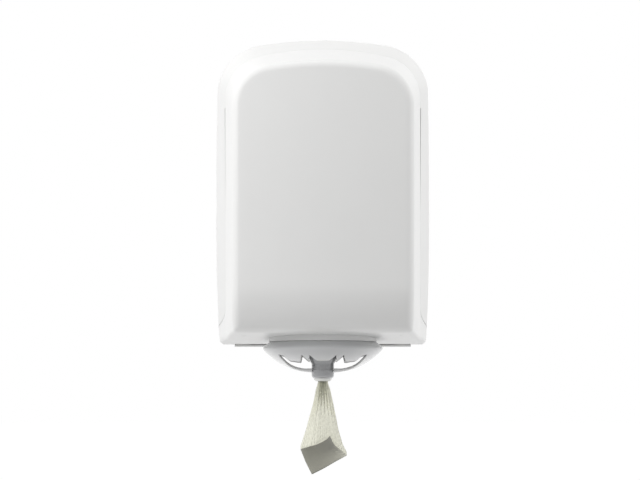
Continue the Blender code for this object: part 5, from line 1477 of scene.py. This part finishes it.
@dataclass
class Screws:
    """Pan-head screws with a cross recess and a thread, driven in by one node group."""

    head_radius: float = 3.2 * MM
    head_height: float = 1.8 * MM
    shank_radius: float = 1.4 * MM
    pitch: float = 1.2 * MM

    HEAD_SIDES = 28
    DOME_RINGS = 20
    DOME_SHARE = 1.55
    RECESS_LENGTH = 1.26
    RECESS_WIDTH = 0.26
    SHANK_SIDES = 16
    THREAD_STEPS = 14
    THREAD_SHARE = 0.85
    THREAD_FOOT = 0.97
    RIDGE = 0.2 * MM

    def tree(self) -> NodeTree:
        """Returns the node group, made on first use: a screw at each point, turned as the point says."""
        found = bpy.data.node_groups.get("pan_head_screws")
        if found:
            return found
        names = ("Head Radius", "Head Height", "Shank Radius", "Length", "Pitch")
        kinds = {"Points": "Geometry", **dict.fromkeys(names, "Float"), "Finish": "Material"}
        tree, given = new_group("pan_head_screws", kinds)

        def times(value: NodeSocket, factor: float) -> NodeSocket:
            """Multiplies a length."""
            return calculate(tree, "MULTIPLY", value, factor)

        def shape(kind: str, inputs: dict, height: NodeSocket) -> NodeSocket:
            """Adds a shape and lifts it to a height."""
            spot = add_node(tree, "ShaderNodeCombineXYZ", {"Z": height}).outputs[0]
            moved = {"Geometry": add_node(tree, kind, inputs).outputs[0], "Translation": spot}
            return add_node(tree, "GeometryNodeTransform", moved).outputs[0]

        radius, height, shank, length, pitch = (given[name] for name in names)
        inputs = {"Vertices": self.HEAD_SIDES, "Radius Top": radius, "Radius Bottom": radius, "Depth": height}
        rim = add_node(tree, "GeometryNodeMeshCone", inputs).outputs[0]
        curve = times(radius, self.DOME_SHARE)
        inputs = {"Segments": self.HEAD_SIDES, "Rings": self.DOME_RINGS, "Radius": curve}
        dome = shape("GeometryNodeMeshUVSphere", inputs, calculate(tree, "SUBTRACT", height, curve))
        crown = add_node(tree, "GeometryNodeMeshBoolean", {1: [rim, dome]}, operation="INTERSECT").outputs[0]
        bars = []
        long, narrow = times(radius, self.RECESS_LENGTH), times(radius, self.RECESS_WIDTH)
        for x, y in ((long, narrow), (narrow, long)):
            size = add_node(tree, "ShaderNodeCombineXYZ", {"X": x, "Y": y, "Z": height}).outputs[0]
            bars.append(shape("GeometryNodeMeshCube", {"Size": size}, height))
        inputs = {0: crown, 1: bars}
        head = add_node(tree, "GeometryNodeMeshBoolean", inputs, operation="DIFFERENCE").outputs[0]
        inputs = {"Vertices": self.SHANK_SIDES, "Radius": shank, "Depth": length}
        core = shape("GeometryNodeMeshCylinder", inputs, times(length, -0.5))
        rise = times(length, self.THREAD_SHARE)
        inputs = {"Start Radius": shank, "End Radius": shank, "Height": rise, "Resolution": self.THREAD_STEPS}
        inputs["Rotations"] = calculate(tree, "DIVIDE", rise, pitch)
        spiral = add_node(tree, "GeometryNodeCurveSpiral", inputs).outputs[0]
        inputs = {"Resolution": 3, "Radius": self.RIDGE}
        ridge = add_node(tree, "GeometryNodeCurvePrimitiveCircle", inputs).outputs[0]
        inputs = {"Curve": spiral, "Profile Curve": ridge, "Fill Caps": True}
        thread = shape("GeometryNodeCurveToMesh", inputs, times(length, -self.THREAD_FOOT))
        screw = add_node(tree, "GeometryNodeJoinGeometry", {0: [head, core, thread]}).outputs[0]
        kind = {"data_type": "FLOAT_VECTOR"}
        turn = add_node(tree, "GeometryNodeInputNamedAttribute", {"Name": "turn"}, **kind).outputs[0]
        inputs = {"Points": given["Points"], "Instance": screw, "Rotation": turn}
        driven = add_node(tree, "GeometryNodeInstanceOnPoints", inputs).outputs[0]
        return end_group(tree, driven, given["Finish"])

    def drive(
        self, name: str, body: Body, nodes: tuple[str, ...], spots: list[Spot], length: float
    ) -> Object:
        """Drives a set of screws in.

        Args:
            name: the set's name.
            body: the body it rides on.
            nodes: the CAD nodes it stands for.
            spots: where the underside of each head sits, and how the screw is turned.
            length: the screws' length.

        Returns:
            The finished piece.
        """
        mesh = bpy.data.meshes.new(name)
        mesh.from_pydata([place for place, _ in spots], [], [])
        turn = mesh.attributes.new("turn", "FLOAT_VECTOR", "POINT")
        for i, (_, rotation) in enumerate(spots):
            turn.data[i].vector = rotation.to_euler()
        values = {
            "Head Radius": self.head_radius,
            "Head Height": self.head_height,
            "Shank Radius": self.shank_radius,
            "Length": length,
            "Pitch": self.pitch,
            "Finish": ZINC_STEEL.material(),
        }
        screws = smooth(run_tree(self.tree(), mesh, name, values))
        return hand_over(screws, body, ZINC_STEEL, nodes)


BOWL_SCREW_SEAT = 5.7 * MM
BOWL_SCREW_LENGTH = 9 * MM
SHELF_SCREW_LENGTH = 10 * MM
HOOK_SCREW_SHORTER = 1 * MM
LEVER_HEAD_RADIUS = 5 * MM
HOOK_EDGE = 0.4 * MM


def drive_all_screws() -> None:
    """Drives in the screws of the bowl, the shelf, the hook and the lever."""
    up, down = Matrix.Identity(3), Matrix.Rotation(math.pi, 3, "X")
    small, place = Screws(), bowl_place()
    head = small.head_height
    turn = place.to_3x3() @ down
    spots = [(place @ lifted(spot, BOWL_SCREW_SEAT), turn) for spot in bowl_screw_spots()]
    small.drive("bowl_screws", Body.COVER, BOWL_SCREWS, spots, BOWL_SCREW_LENGTH)

    def seated(spot: Vector, height: float, turn: Matrix) -> Spot:
        """Returns where a screw's head sits, over or under a spot, and how it is turned."""
        return Vector((spot.x, spot.y, height)), turn

    spots = [seated(box_middle(name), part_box(name)[1].z - head, up) for name in SHELF_SCREWS]
    small.drive("shelf_screws", Body.COVER, SHELF_SCREWS, spots, SHELF_SCREW_LENGTH)
    spots = [seated(box_middle(name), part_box(name)[0].z + head, down) for name in HOOK_SCREWS]
    low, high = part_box(HOOK_SCREWS[1])
    small.drive("hook_screws", Body.COVER, HOOK_SCREWS, spots, high.z - low.z - head - HOOK_SCREW_SHORTER)
    low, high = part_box("lock_cam_screw")
    spots = [seated(lock_axis(), low.z + head, down)]
    wide = Screws(head_radius=LEVER_HEAD_RADIUS)
    wide.drive("lever_screw", Body.LOCK, ("lock_cam_screw",), spots, high.z - low.z - head)


@dataclass
class Shelf:
    """The plate that the roll stands on, with the throat that the sheet falls through."""

    thickness: float = 3 * MM
    corner: float = 40 * MM
    corner_steps: int = 20
    hole: float = 34 * MM
    throat_wall: float = 2 * MM
    throat_drop: float = 9 * MM
    edge: float = 0.6 * MM
    bed: float = 1 * MM
    overrun: float = 10 * MM

    def build(self) -> Object:
        """Builds the shelf."""
        low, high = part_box("roll_shelf")
        bottom = high.z - self.thickness
        outline = []
        corners = ((high.x, high.y), (low.x, high.y), (low.x, low.y), (high.x, low.y))
        for number, (x, y) in enumerate(corners):
            cx = x - math.copysign(self.corner, x)
            cy = y - self.corner if y == high.y else y + self.corner
            ends = (QUARTER_TURN * number, QUARTER_TURN * (number + 1))
            outline += arc((cx, cy), self.corner, *ends, self.corner_steps)
        plate = prism(outline, bottom, high.z, "XY")
        plate.name = "shelf_plate"
        middle = box_middle("paper_roll")
        foot, over = bottom - self.throat_drop, high.z + self.overrun
        throat = post(middle, foot, bottom + self.bed, self.hole + self.throat_wall, RING_SIDES)
        hole = post(middle, foot - self.overrun, over, self.hole, RING_SIDES)
        steps = [(Cut.ON, throat), (Cut.AWAY, hole)]
        for name in SHELF_SCREWS:
            bore = post(box_middle(name), bottom - self.overrun, over, SCREW_HOLE, BORE_SIDES)
            steps.append((Cut.AWAY, bore))
        bevelled(carve(plate, steps), self.edge)
        return hand_over(plate, Body.COVER, WHITE_POLYPROPYLENE, ("roll_shelf",))


def build_hook() -> Object:
    """Builds the strike hook from its CAD shape, with softened edges."""
    hook = bevelled(node_copy("strike_hook", "hook_arm"), HOOK_EDGE)
    return hand_over(hook, Body.COVER, SATIN_ABS, ("strike_hook",))


@dataclass
class HingePins:
    """The two steel pins of the cover's hinge, whose heads face each other."""

    head: float = 4.2 * MM
    head_length: float = 2 * MM
    shank: float = 2.5 * MM
    edge: float = 0.4 * MM
    segments: int = 40

    def build(self) -> None:
        """Builds both pins."""
        axis = hinge_axis()
        head, shank, edge = self.head, self.shank, self.edge
        for side, name in SIDES:
            node = f"hinge_pin_{name}"
            low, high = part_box(node)
            length = high.x - low.x
            profile = [(0.0, 0.0), (head, 0.0), (head, self.head_length), (shank, self.head_length)]
            profile += [(shank, length - edge), (shank - edge, length), (0.0, length)]
            soft = softened(profile, edge, 3, closed=False)
            start = low.x if side > 0 else high.x
            turn = Matrix.Rotation(side * QUARTER_TURN, 4, "Y")
            place = Matrix.Translation((start, axis.y, axis.z)) @ turn
            pin = smooth(as_object(turned(soft, self.segments), f"pin_{name}", place))
            hand_over(pin, Body.REAR, ZINC_STEEL, (node,))


@dataclass
class WoundRoll:
    """The paper roll: one web wound in a spiral, drawn with fewer and thicker layers than the real one."""

    turns: float = 36.0
    layer_share: float = 0.86
    resolution: int = 72
    core: float = 32 * MM
    map_radius: float = 95 * MM

    def tree(self) -> NodeTree:
        """Makes the node group that winds a flat band into a roll."""
        names = ("Inner Radius", "Outer Radius", "Turns", "Layer", "Width")
        kinds = {"Start": "Geometry", **dict.fromkeys(names, "Float")}
        tree, given = new_group("wound_web", {**kinds, "Resolution": "Int", "Finish": "Material"})
        inner, outer, turns, layer, width = (given[name] for name in names)
        inputs = {"Start Radius": inner, "End Radius": outer, "Height": 0.0, "Rotations": turns}
        inputs["Resolution"] = given["Resolution"]
        spiral = add_node(tree, "GeometryNodeCurveSpiral", inputs).outputs[0]
        upright = add_node(tree, "GeometryNodeSetCurveNormal", {"Curve": spiral}, mode="Z_UP").outputs[0]
        inputs = {"Width": layer, "Height": width}
        band = add_node(tree, "GeometryNodeCurvePrimitiveQuadrilateral", inputs).outputs[0]
        inputs = {"Curve": upright, "Profile Curve": band, "Fill Caps": True}
        web = add_node(tree, "GeometryNodeCurveToMesh", inputs).outputs[0]
        return end_group(tree, web, given["Finish"])

    def build(self) -> Object:
        """Builds the roll."""
        low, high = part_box("paper_roll")
        middle = (low + high) / 2
        outer = (high.x - low.x) / 2
        layer = (outer - self.core) / self.turns * self.layer_share
        values = {
            "Inner Radius": self.core + layer,
            "Outer Radius": outer - layer,
            "Turns": self.turns,
            "Layer": layer,
            "Width": high.z - low.z,
            "Resolution": self.resolution,
            "Finish": CREAM_TISSUE.material(),
        }
        roll = run_tree(self.tree(), bpy.data.meshes.new("wound_roll"), "wound_roll", values)
        roll.data.transform(Matrix.Translation(middle))
        self.map_web(roll.data, middle)
        return hand_over(smooth(roll), Body.COVER, CREAM_TISSUE, ("paper_roll",))

    def map_web(self, mesh: Mesh, middle: Vector) -> None:
        """Gives the roll a UV map in metres, round it and along it, for the paper's pattern."""
        layer = mesh.uv_layers.new(name="sheet")
        for loop in mesh.loops:
            point = mesh.vertices[loop.vertex_index].co - middle
            layer.data[loop.index].uv = (math.atan2(point.y, point.x) * self.map_radius, point.z)


@dataclass
class GatheredSheet:
    """Tools for a sheet that is gathered into a pleated tube."""

    web_width: float = 265 * MM
    thickness: float = 0.22 * MM

    def sheet_object(self, name: str, rows: Rings, marks: list[list[Pair]]) -> Object:
        """Makes a sheet with its thickness and its UV map.

        Args:
            name: the object's name.
            rows: points down the sheet, each row across it.
            marks: for each point, its painted shade as the back of the turned-up corner, and its painted
                shade of gathering.

        Returns:
            The sheet.
        """
        bm = bmesh.new()
        flat = bm.loops.layers.uv.new("sheet")
        # Painted shade masks: the back of the turned-up corner, and the gathered sheet
        reverse_shade, gathered = (bm.verts.layers.float.new(name) for name in ("turned", "gathered"))
        verts = []
        for row, values in zip(rows, marks):
            verts.append([bm.verts.new(point) for point in row])
            for vert, (reverse_shade_share, gathered_shade_share) in zip(verts[-1], values):
                vert[reverse_shade] = reverse_shade_share
                vert[gathered] = gathered_shade_share
        down = [0.0]
        for near, far in zip(rows, rows[1:]):
            down.append(down[-1] + sum((a - b).length for a, b in zip(near, far)) / len(near))
        last = len(rows[0]) - 1
        for i in range(len(verts) - 1):
            for j in range(last):
                corners = ((i, j), (i, j + 1), (i + 1, j + 1), (i + 1, j))
                face = bm.faces.new([verts[a][b] for a, b in corners])
                face.smooth = True
                for loop, (a, b) in zip(face.loops, corners):
                    loop[flat].uv = (self.web_width * b / last, down[a])
        bmesh.ops.remove_doubles(bm, verts=bm.verts, dist=WELD)
        bmesh.ops.recalc_face_normals(bm, faces=bm.faces)
        LOG.info("%s: sheet area %.5f square metres", name, sum(face.calc_area() for face in bm.faces))
        return thicken(as_object(bm, name), self.thickness, 0.0)


@dataclass
class FeedSheet(GatheredSheet):
    """The gathered sheet from the roll's core, through the shelf and the bowl, to the nozzle's throat."""

    pleats: int = 31
    pleat_depth: float = 0.76
    columns: int = 372
    steps: int = 40
    half_width: float = 6.3 * MM
    flat_length: float = 140 * MM
    closed_share: float = 0.985
    wander: float = 0.8
    wander_waves: int = 3
    wander_twist: float = 2.0
    # Painted shade of gathering, the same all along the feeding sheet
    gathered: float = 0.6
    core_gap: float = 6.5 * MM
    bend_across: float = 0.8
    bend_down: float = 0.39
    ring_across: float = 0.2
    bowl_drop: float = 26 * MM
    throat_shift: float = 1.6 * MM

    # Half the gathered sheet's depth at each point of its route
    HALF_DEPTHS = (3.2 * MM, 4.5 * MM, 6.3 * MM, 6.3 * MM, 5.8 * MM)

    def route(self) -> list[Vector]:
        """Returns the middle of the gathered sheet, from the core down."""
        low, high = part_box("paper_feed")
        roll_y = box_middle("paper_roll").y
        ring = bowl_place().translation
        inside = bowl_place() @ Vector((0.0, 0.0, -self.bowl_drop))
        core_x = high.x - self.core_gap
        return [
            Vector((core_x, roll_y, high.z)),
            Vector((core_x * self.bend_across, roll_y, lerp(high.z, ring.z, self.bend_down))),
            Vector((core_x * self.ring_across, roll_y, ring.z)),
            Vector((0.0, inside.y, inside.z)),
            Vector((0.0, (low.y + high.y) / 2 - self.throat_shift, low.z)),
        ]

    def build(self) -> Object:
        """Builds the gathered sheet."""
        route, depths = self.route(), self.HALF_DEPTHS
        rows = []
        spans = len(route) - 1
        for step in range(self.steps + 1):
            place = spans * step / self.steps
            index = min(int(place), spans - 1)
            share = place - index
            middle = catmull(route, index, share)
            depth = lerp(depths[index], depths[index + 1], share)
            row = []
            for j in range(self.columns + 1):
                angle = FULL_TURN * self.closed_share * j / self.columns
                phase = self.wander_waves * angle + self.wander_twist * step / self.steps
                drift = self.wander * math.sin(phase)
                wave = 0.5 - 0.5 * math.cos(self.pleats * angle + drift)
                reach = 1 - self.pleat_depth * wave
                x = middle.x + self.half_width * reach * math.cos(angle)
                row.append(Vector((x, middle.y + depth * reach * math.sin(angle), middle.z)))
            rows.append(row)
        # Each point takes the painted shade of gathering
        marks = [[(0.0, self.gathered)] * (self.columns + 1)] * len(rows)
        sheet = self.sheet_object("feeding_sheet", rows, marks)
        hand_over(sheet, Body.COVER, CREAM_TISSUE, ("paper_feed",))
        return sheet


def catmull(points: list[Vector], index: int, t: float) -> Vector:
    """Returns a point on the smooth curve through a list of points, part of the way along a span."""
    last = len(points) - 1
    a, b, c, d = (points[min(max(index + k, 0), last)] for k in (-1, 0, 1, 2))
    return 0.5 * (2 * b + (c - a) * t + (2 * a - 5 * b + 4 * c - d) * t**2 + (3 * b - a - 3 * c + d) * t**3)


def along(points: tuple[Pair, ...], share: float) -> Vector:
    """Returns a point on the smooth curve through flat points, by share of its spans."""
    spans = len(points) - 1
    place = min(max(share, 0.0), 1.0) * spans
    index = min(int(place), spans - 1)
    return catmull([Vector(point) for point in points], index, place - index)


def piecewise(table: tuple[Pair, ...], place: float) -> float:
    """Returns the value at a place, in metres, from a table of places and values in millimetres."""
    place /= MM
    for (start, before), (end, after) in zip(table, table[1:]):
        if place <= end:
            return lerp(before, after, (place - start) / (end - start)) * MM
    return table[-1][1] * MM


@dataclass
class HangingSheet(GatheredSheet):
    """The sheet below the nozzle: gathered at the throat, fanned out, with one corner turned up in front."""

    columns: int = 360
    front_columns: int = 150
    steps: int = 64
    pleats: int = 20
    throat_half: float = 6.3 * MM
    throat_depth: float = 3.6 * MM
    throat_share: float = 0.12
    throat_rise: float = 2.6 * MM
    throat_pleat: float = 0.61
    back_pleat: float = 0.42
    front_pleat: float = 0.03
    fold_depth: float = 0.10
    opening_rate: float = 1.5
    front_rate: float = 1.5
    depth_rate: float = 3.0
    side_power: float = 0.5
    side_fade: float = 0.1
    hem_drop: float = 89.7 * MM
    flat_share: float = 0.36
    lean: float = 3.2 * MM
    back_overlap: float = 1.14
    back_longer: float = 5 * MM
    back_shorter: float = 6 * MM
    back_wave: float = 2.2 * MM
    back_waves: int = 5
    back_rate: float = 2.0
    back_inward: float = 0.22
    fold_gap: float = 1.0 * MM
    flap_reach: float = 15 * MM
    turn_steps: int = 4
    patch_steps: int = 40
    # How far below the throat the painted shade of gathering fades out
    gathered_shade_drop: float = 46 * MM
    flat_length: float = 120 * MM
    flat_area: float = 0.0205

    # How far the sheet spreads to each side, at drops below the throat, and its turned corner's edges
    LEFT_SPREAD = ((0.0, 6.9), (32.6, 13.4), (63.9, 21.9), (86.2, 29.1), (124.0, 29.1))
    RIGHT_SPREAD = ((0.0, 6.9), (32.6, 14.4), (63.9, 20.2), (84.2, 26.2), (94.0, 31.2), (124.0, 31.2))
    FOLD_LEFT = ((-29.1, 2.7), (-22.6, -12.9), (-14.2, -28.9))
    FOLD_RIGHT = ((-14.2, -28.9), (2.0, -20.7), (17.0, -12.0), (31.2, -5.0))
    EDGE_LEFT = ((-29.1, 2.7), (-18.5, 6.4), (-7.9, 9.9), (4.0, 16.6), (9.1, 22.3))
    EDGE_RIGHT = ((9.1, 22.3), (13.6, 11.9), (17.4, 7.2), (24.0, 1.6), (31.2, -5.0))
    # The pleats' wander round the tube (size, waves, start), and the soft folds (count, start, twist)
    PLEAT_DRIFT = (1.3, 2, 0.6)
    SOFT_FOLDS = (5.2, 0.9, 0.8)
    # Painted shade on the back of the turned corner: its full strength, and how it fades to the fold and to
    # the right
    REVERSE_SHADE_SHARES = (0.88, 0.18, 0.7)

    def spread(self, x: float, drop: float) -> float:
        """Returns the sheet's reach to the right or the left, as x has it, at a drop below the throat."""
        return piecewise(self.RIGHT_SPREAD if x > 0 else self.LEFT_SPREAD, drop)

    def fold_height(self, x: float) -> float:
        """Returns the height of the turned corner's fold above the hem, at a place across."""
        return piecewise(self.FOLD_LEFT if x / MM < self.FOLD_LEFT[-1][0] else self.FOLD_RIGHT, x)

    def cross_point(self, angle: float, drop: float, pivot: Vector) -> Vector:
        """Returns a point of the sheet below the throat. Angles run from the right over the back."""
        share = drop / self.hem_drop
        front = 0.5 - 0.5 * math.sin(angle)
        opened = ease(share * self.opening_rate)
        open_pleat = lerp(self.back_pleat, self.front_pleat, ease(front * self.front_rate))
        drift, drifts, drift_start = self.PLEAT_DRIFT
        wave = 0.5 - 0.5 * math.cos(self.pleats * angle + drift * math.sin(drifts * angle + drift_start))
        count, fold_start, twist = self.SOFT_FOLDS
        folds = 0.5 + 0.5 * math.sin(count * angle + fold_start + twist * share)
        pleat = lerp(self.throat_pleat, open_pleat, opened)
        reach = (1 - pleat * wave) * (1 - self.fold_depth * opened * folds)
        across = math.cos(angle)
        half = self.spread(across, drop)
        if share < self.throat_share:
            half = lerp(self.throat_half, half, share / self.throat_share)
        flat = self.spread(-1, drop) * self.flat_share
        depth = lerp(self.throat_depth, flat, ease(share * self.depth_rate))
        side_reach = lerp(1.0, reach, abs(math.sin(angle)) ** self.side_power)
        x = half * across * lerp(reach, side_reach, opened)
        y = pivot.y - self.lean * share + depth * reach * math.sin(angle)
        return Vector((x, y, pivot.z - drop))

    def column(self, j: int, pivot: Vector, hem: float) -> list[Vector]:
        """Returns a column of the sheet's points, from the throat down. The front's columns come first."""
        behind = (j - self.front_columns) / (self.columns - self.front_columns)
        if behind <= 0:
            angle = math.pi + math.pi * j / self.front_columns
            end = pivot.z - (hem + self.fold_height(self.cross_point(angle, self.hem_drop, pivot).x))
        else:
            angle = FULL_TURN + math.pi * self.back_overlap * behind
            longest, shortest = pivot.z - hem + self.back_longer, self.hem_drop - self.back_shorter
            end = lerp(longest, shortest, ease(behind * self.back_rate))
            end += self.back_wave * math.sin(self.back_waves * angle)
        inward = 1 - self.back_inward * ease(behind)
        points = [self.cross_point(angle, end * step / self.steps, pivot) for step in range(self.steps + 1)]
        return [Vector((p.x * inward, pivot.y + (p.y - pivot.y) * inward, p.z)) for p in points]

    def build(self) -> Object:
        """Builds the hanging sheet."""
        pivot = lifted(Vector(JOINTS["tail_swing"]["pos_m"]), self.throat_rise)
        hem = pivot.z - self.hem_drop - self.throat_rise
        columns = [self.column(j, pivot, hem) for j in range(self.columns + 1)]
        rows = [list(row) for row in zip(*columns)]
        # Each point takes painted shade of gathering, most in the middle just below the throat
        marks = [[(0.0, self.density(point, pivot)) for point in row] for row in rows]
        sheet = self.sheet_object("hanging_sheet", rows, marks)
        self.join(sheet, self.flap(rows[-1][: self.front_columns + 1], hem, pivot))
        hand_over(sheet, Body.TAIL, CREAM_TISSUE, ("paper_tail",))
        return sheet

    def out(self, point: Vector, drop: float) -> float:
        """Returns how far out to its side a point is, as a share of the sheet's spread there."""
        return min(abs(point.x) / self.spread(point.x, drop), 1.0)

    def density(self, point: Vector, pivot: Vector) -> float:
        """Returns the painted shade of gathering at a point: most in the middle, just below the throat."""
        drop = pivot.z - point.z
        side = self.out(point, drop) * (1 + self.side_fade) - self.side_fade
        return (1 - ease(drop / self.gathered_shade_drop)) * (1 - ease(side))

    def front_y(self, point: Vector, pivot: Vector) -> float:
        """Returns how far forward the sheet reaches at a point's height and place across."""
        drop = pivot.z - point.z
        depth = self.spread(-1, drop) * self.flat_share
        return pivot.y - self.lean * drop / self.hem_drop - depth * math.sqrt(1 - self.out(point, drop) ** 2)

    def flap(self, fold: list[Vector], hem: float, pivot: Vector) -> Object:
        """Makes the turned-up corner: the turn along its fold, and a smooth patch beyond it."""
        half_gap = self.fold_gap / 2
        rows: Rings = []
        for step in range(self.turn_steps + 1):
            angle = math.pi * step / self.turn_steps
            away, fall = half_gap * (1 - math.cos(angle)), half_gap * math.sin(angle)
            rows.append([Vector((p.x, p.y - away, hem + self.fold_height(p.x) - fall)) for p in fold])
        # Painted shade of the sheet's back grows round the turn, from none to full
        marks = [[(step / self.turn_steps, 0.0)] * len(fold) for step in range(self.turn_steps + 1)]
        corner_turn = self.sheet_object("corner_turn", rows, marks)
        tip = self.FOLD_LEFT[-1][0] * MM
        count = next(i for i, point in enumerate(fold) if point.x >= tip)
        front = rows[-1]
        left, low, right = front[0], front[count], front[-1]
        apex_y = min(point.y for point in front) - self.flap_reach
        apex = Vector((self.EDGE_LEFT[-1][0] * MM, apex_y, hem + self.EDGE_LEFT[-1][1] * MM))

        def edge(table: tuple[Pair, ...], share: float, start: Vector, end: Vector) -> Vector:
            """Returns a point of a free edge, between two corners."""
            flat = along(table, share)
            return Vector((flat.x * MM, lerp(start.y, end.y, share), hem + flat.y * MM))

        def between(points: list[Vector], share: float) -> Vector:
            """Returns a point along a list of points."""
            place = share * (len(points) - 1)
            index = min(int(place), len(points) - 2)
            return points[index].lerp(points[index + 1], place - index)

        full_shade, low_fade, right_fade = self.REVERSE_SHADE_SHARES
        shares = [i / self.patch_steps for i in range(self.patch_steps + 1)]
        patch, patch_marks = [], []
        for u in shares:
            row, shades = [], []
            for v in shares:
                down = between(front[: count + 1], u).lerp(edge(self.EDGE_RIGHT, u, apex, right), v)
                over = edge(self.EDGE_LEFT, v, left, apex).lerp(between(front[count:], v), u)
                point = down + over - left.lerp(low, u).lerp(apex.lerp(right, u), v)
                gap = self.fold_gap * math.sqrt(1 - u * (1 - v))
                point.y = min(point.y, self.front_y(point, pivot) - gap)
                row.append(point)
                # Painted shade on the corner's back: less towards the fold, much less to the right
                shades.append((full_shade - low_fade * u * (1 - v) - right_fade * (u * v) ** 2, 0.0))
            patch.append(row)
            patch_marks.append(shades)
        corner = self.sheet_object("turned_corner", patch, patch_marks)
        self.join(corner, corner_turn)
        return corner

    def join(self, sheet: Object, addition: Object) -> None:
        """Joins an object's mesh to a sheet's, and deletes the object."""
        bm = bmesh.new()
        bm.from_mesh(sheet.data)
        bm.from_mesh(addition.data)
        bm.to_mesh(sheet.data)
        bm.free()
        remove(addition)


@dataclass(frozen=True)
class Lamp:
    """A soft square lamp: its place and size in metres, and its power in watts."""

    name: str
    place: tuple[float, float, float]
    size: float
    power: float

    def add(self) -> None:
        """Adds the lamp, which looks at the object and shows in no mirror."""
        light = bpy.data.lights.new(self.name, "AREA")
        light.size = self.size
        light.energy = self.power
        lamp = bpy.data.objects.new(self.name, light)
        lamp.location = self.place
        lamp.rotation_euler = (-Vector(self.place)).to_track_quat("-Z", "Y").to_euler()
        lamp.visible_glossy = False
        lamp.visible_camera = False
        bpy.context.scene.collection.objects.link(lamp)


@dataclass(frozen=True)
class Studio:
    """A plain pale floor, white surroundings and soft lamps, seen from the photograph's place."""

    floor_height: float = -1.5
    floor_size: float = 24.0
    floor_albedo: float = 0.75
    floor_glow: float = 0.68
    ambient: float = 0.44
    camera_place: tuple[float, float, float] = (-0.0037, -2.545, -0.0645)
    focal_length: float = 104.625
    sensor_width: float = 36.0

    LAMPS = (
        Lamp("key", (-1.4, -0.95, 0.5), 0.9, 17.0),
        Lamp("fill", (1.9, -0.3, 0.4), 1.0, 16.0),
        Lamp("top", (0.0, -0.35, 2.0), 1.0, 12.0),
        Lamp("low", (-0.6, -0.9, -1.3), 0.8, 0.6),
        Lamp("sweep", (-0.6, 0.5, -1.1), 0.9, 1.3),
    )

    def light_path_white(self, tree: NodeTree) -> NodeSocket:
        """Returns 1 for rays from the camera, a mirror or glass, and 0 for the rest."""
        path = add_node(tree, "ShaderNodeLightPath").outputs
        first = calculate(tree, "MAXIMUM", path["Is Camera Ray"], path["Is Glossy Ray"])
        return calculate(tree, "MAXIMUM", first, path["Is Transmission Ray"])

    def make_world(self) -> None:
        """Makes white surroundings that light the object at a plain level."""
        world = bpy.data.worlds.new("white_studio")
        tree = empty_tree(world)
        light, seen = (
            add_node(tree, "ShaderNodeBackground", {"Color": WHITE, "Strength": strength}).outputs[0]
            for strength in (self.ambient, 1.0)
        )
        both = add_node(tree, "ShaderNodeMixShader", {0: self.light_path_white(tree), 1: light, 2: seen})
        add_node(tree, "ShaderNodeOutputWorld", {"Surface": both.outputs[0]})
        bpy.context.scene.world = world

    def make_floor(self) -> None:
        """Makes the floor, which reads white and still takes the object's shadow."""
        bm = bmesh.new()
        bmesh.ops.create_grid(bm, x_segments=1, y_segments=1, size=self.floor_size / 2)
        floor = as_object(bm, "floor", Matrix.Translation((0.0, 0.0, self.floor_height)))
        material = bpy.data.materials.new("pale_floor")
        tree = empty_tree(material)
        strength = calculate(tree, "MULTIPLY", self.light_path_white(tree), self.floor_glow)
        glow = add_node(tree, "ShaderNodeEmission", {"Color": WHITE, "Strength": strength}).outputs[0]
        grey = (self.floor_albedo, self.floor_albedo, self.floor_albedo, 1.0)
        matt = add_node(tree, "ShaderNodeBsdfDiffuse", {"Color": grey}).outputs[0]
        both = add_node(tree, "ShaderNodeAddShader", {0: glow, 1: matt})
        add_node(tree, "ShaderNodeOutputMaterial", {"Surface": both.outputs[0]})
        floor.data.materials.append(material)

    def make_camera(self) -> None:
        """Makes the camera where the photograph was taken."""
        camera = bpy.data.cameras.new("camera")
        camera.lens = self.focal_length
        camera.sensor_width = self.sensor_width
        viewer = bpy.data.objects.new("camera", camera)
        viewer.location = self.camera_place
        viewer.rotation_euler = (QUARTER_TURN, 0.0, 0.0)
        bpy.context.scene.collection.objects.link(viewer)
        bpy.context.scene.camera = viewer

    def build(self) -> None:
        """Builds the studio and sets the plain view transform."""
        self.make_world()
        self.make_floor()
        for lamp in self.LAMPS:
            lamp.add()
        self.make_camera()
        bpy.context.scene.view_settings.view_transform = "Standard"


def main() -> None:
    """Builds the classes in order."""
    logging.basicConfig(level=logging.INFO, format="%(name)s: %(message)s")
    Studio().build()
    form = BodyForm()
    Housing(form).build()
    Cover(form).build()
    Bowl().build()
    nozzle = Nozzle()
    nozzle.cup()
    nozzle.lip()
    Lock().build()
    Shelf().build()
    build_hook()
    HingePins().build()
    drive_all_screws()
    WoundRoll().build()
    FeedSheet().build()
    HangingSheet().build()


if __name__ == "__main__":
    main()
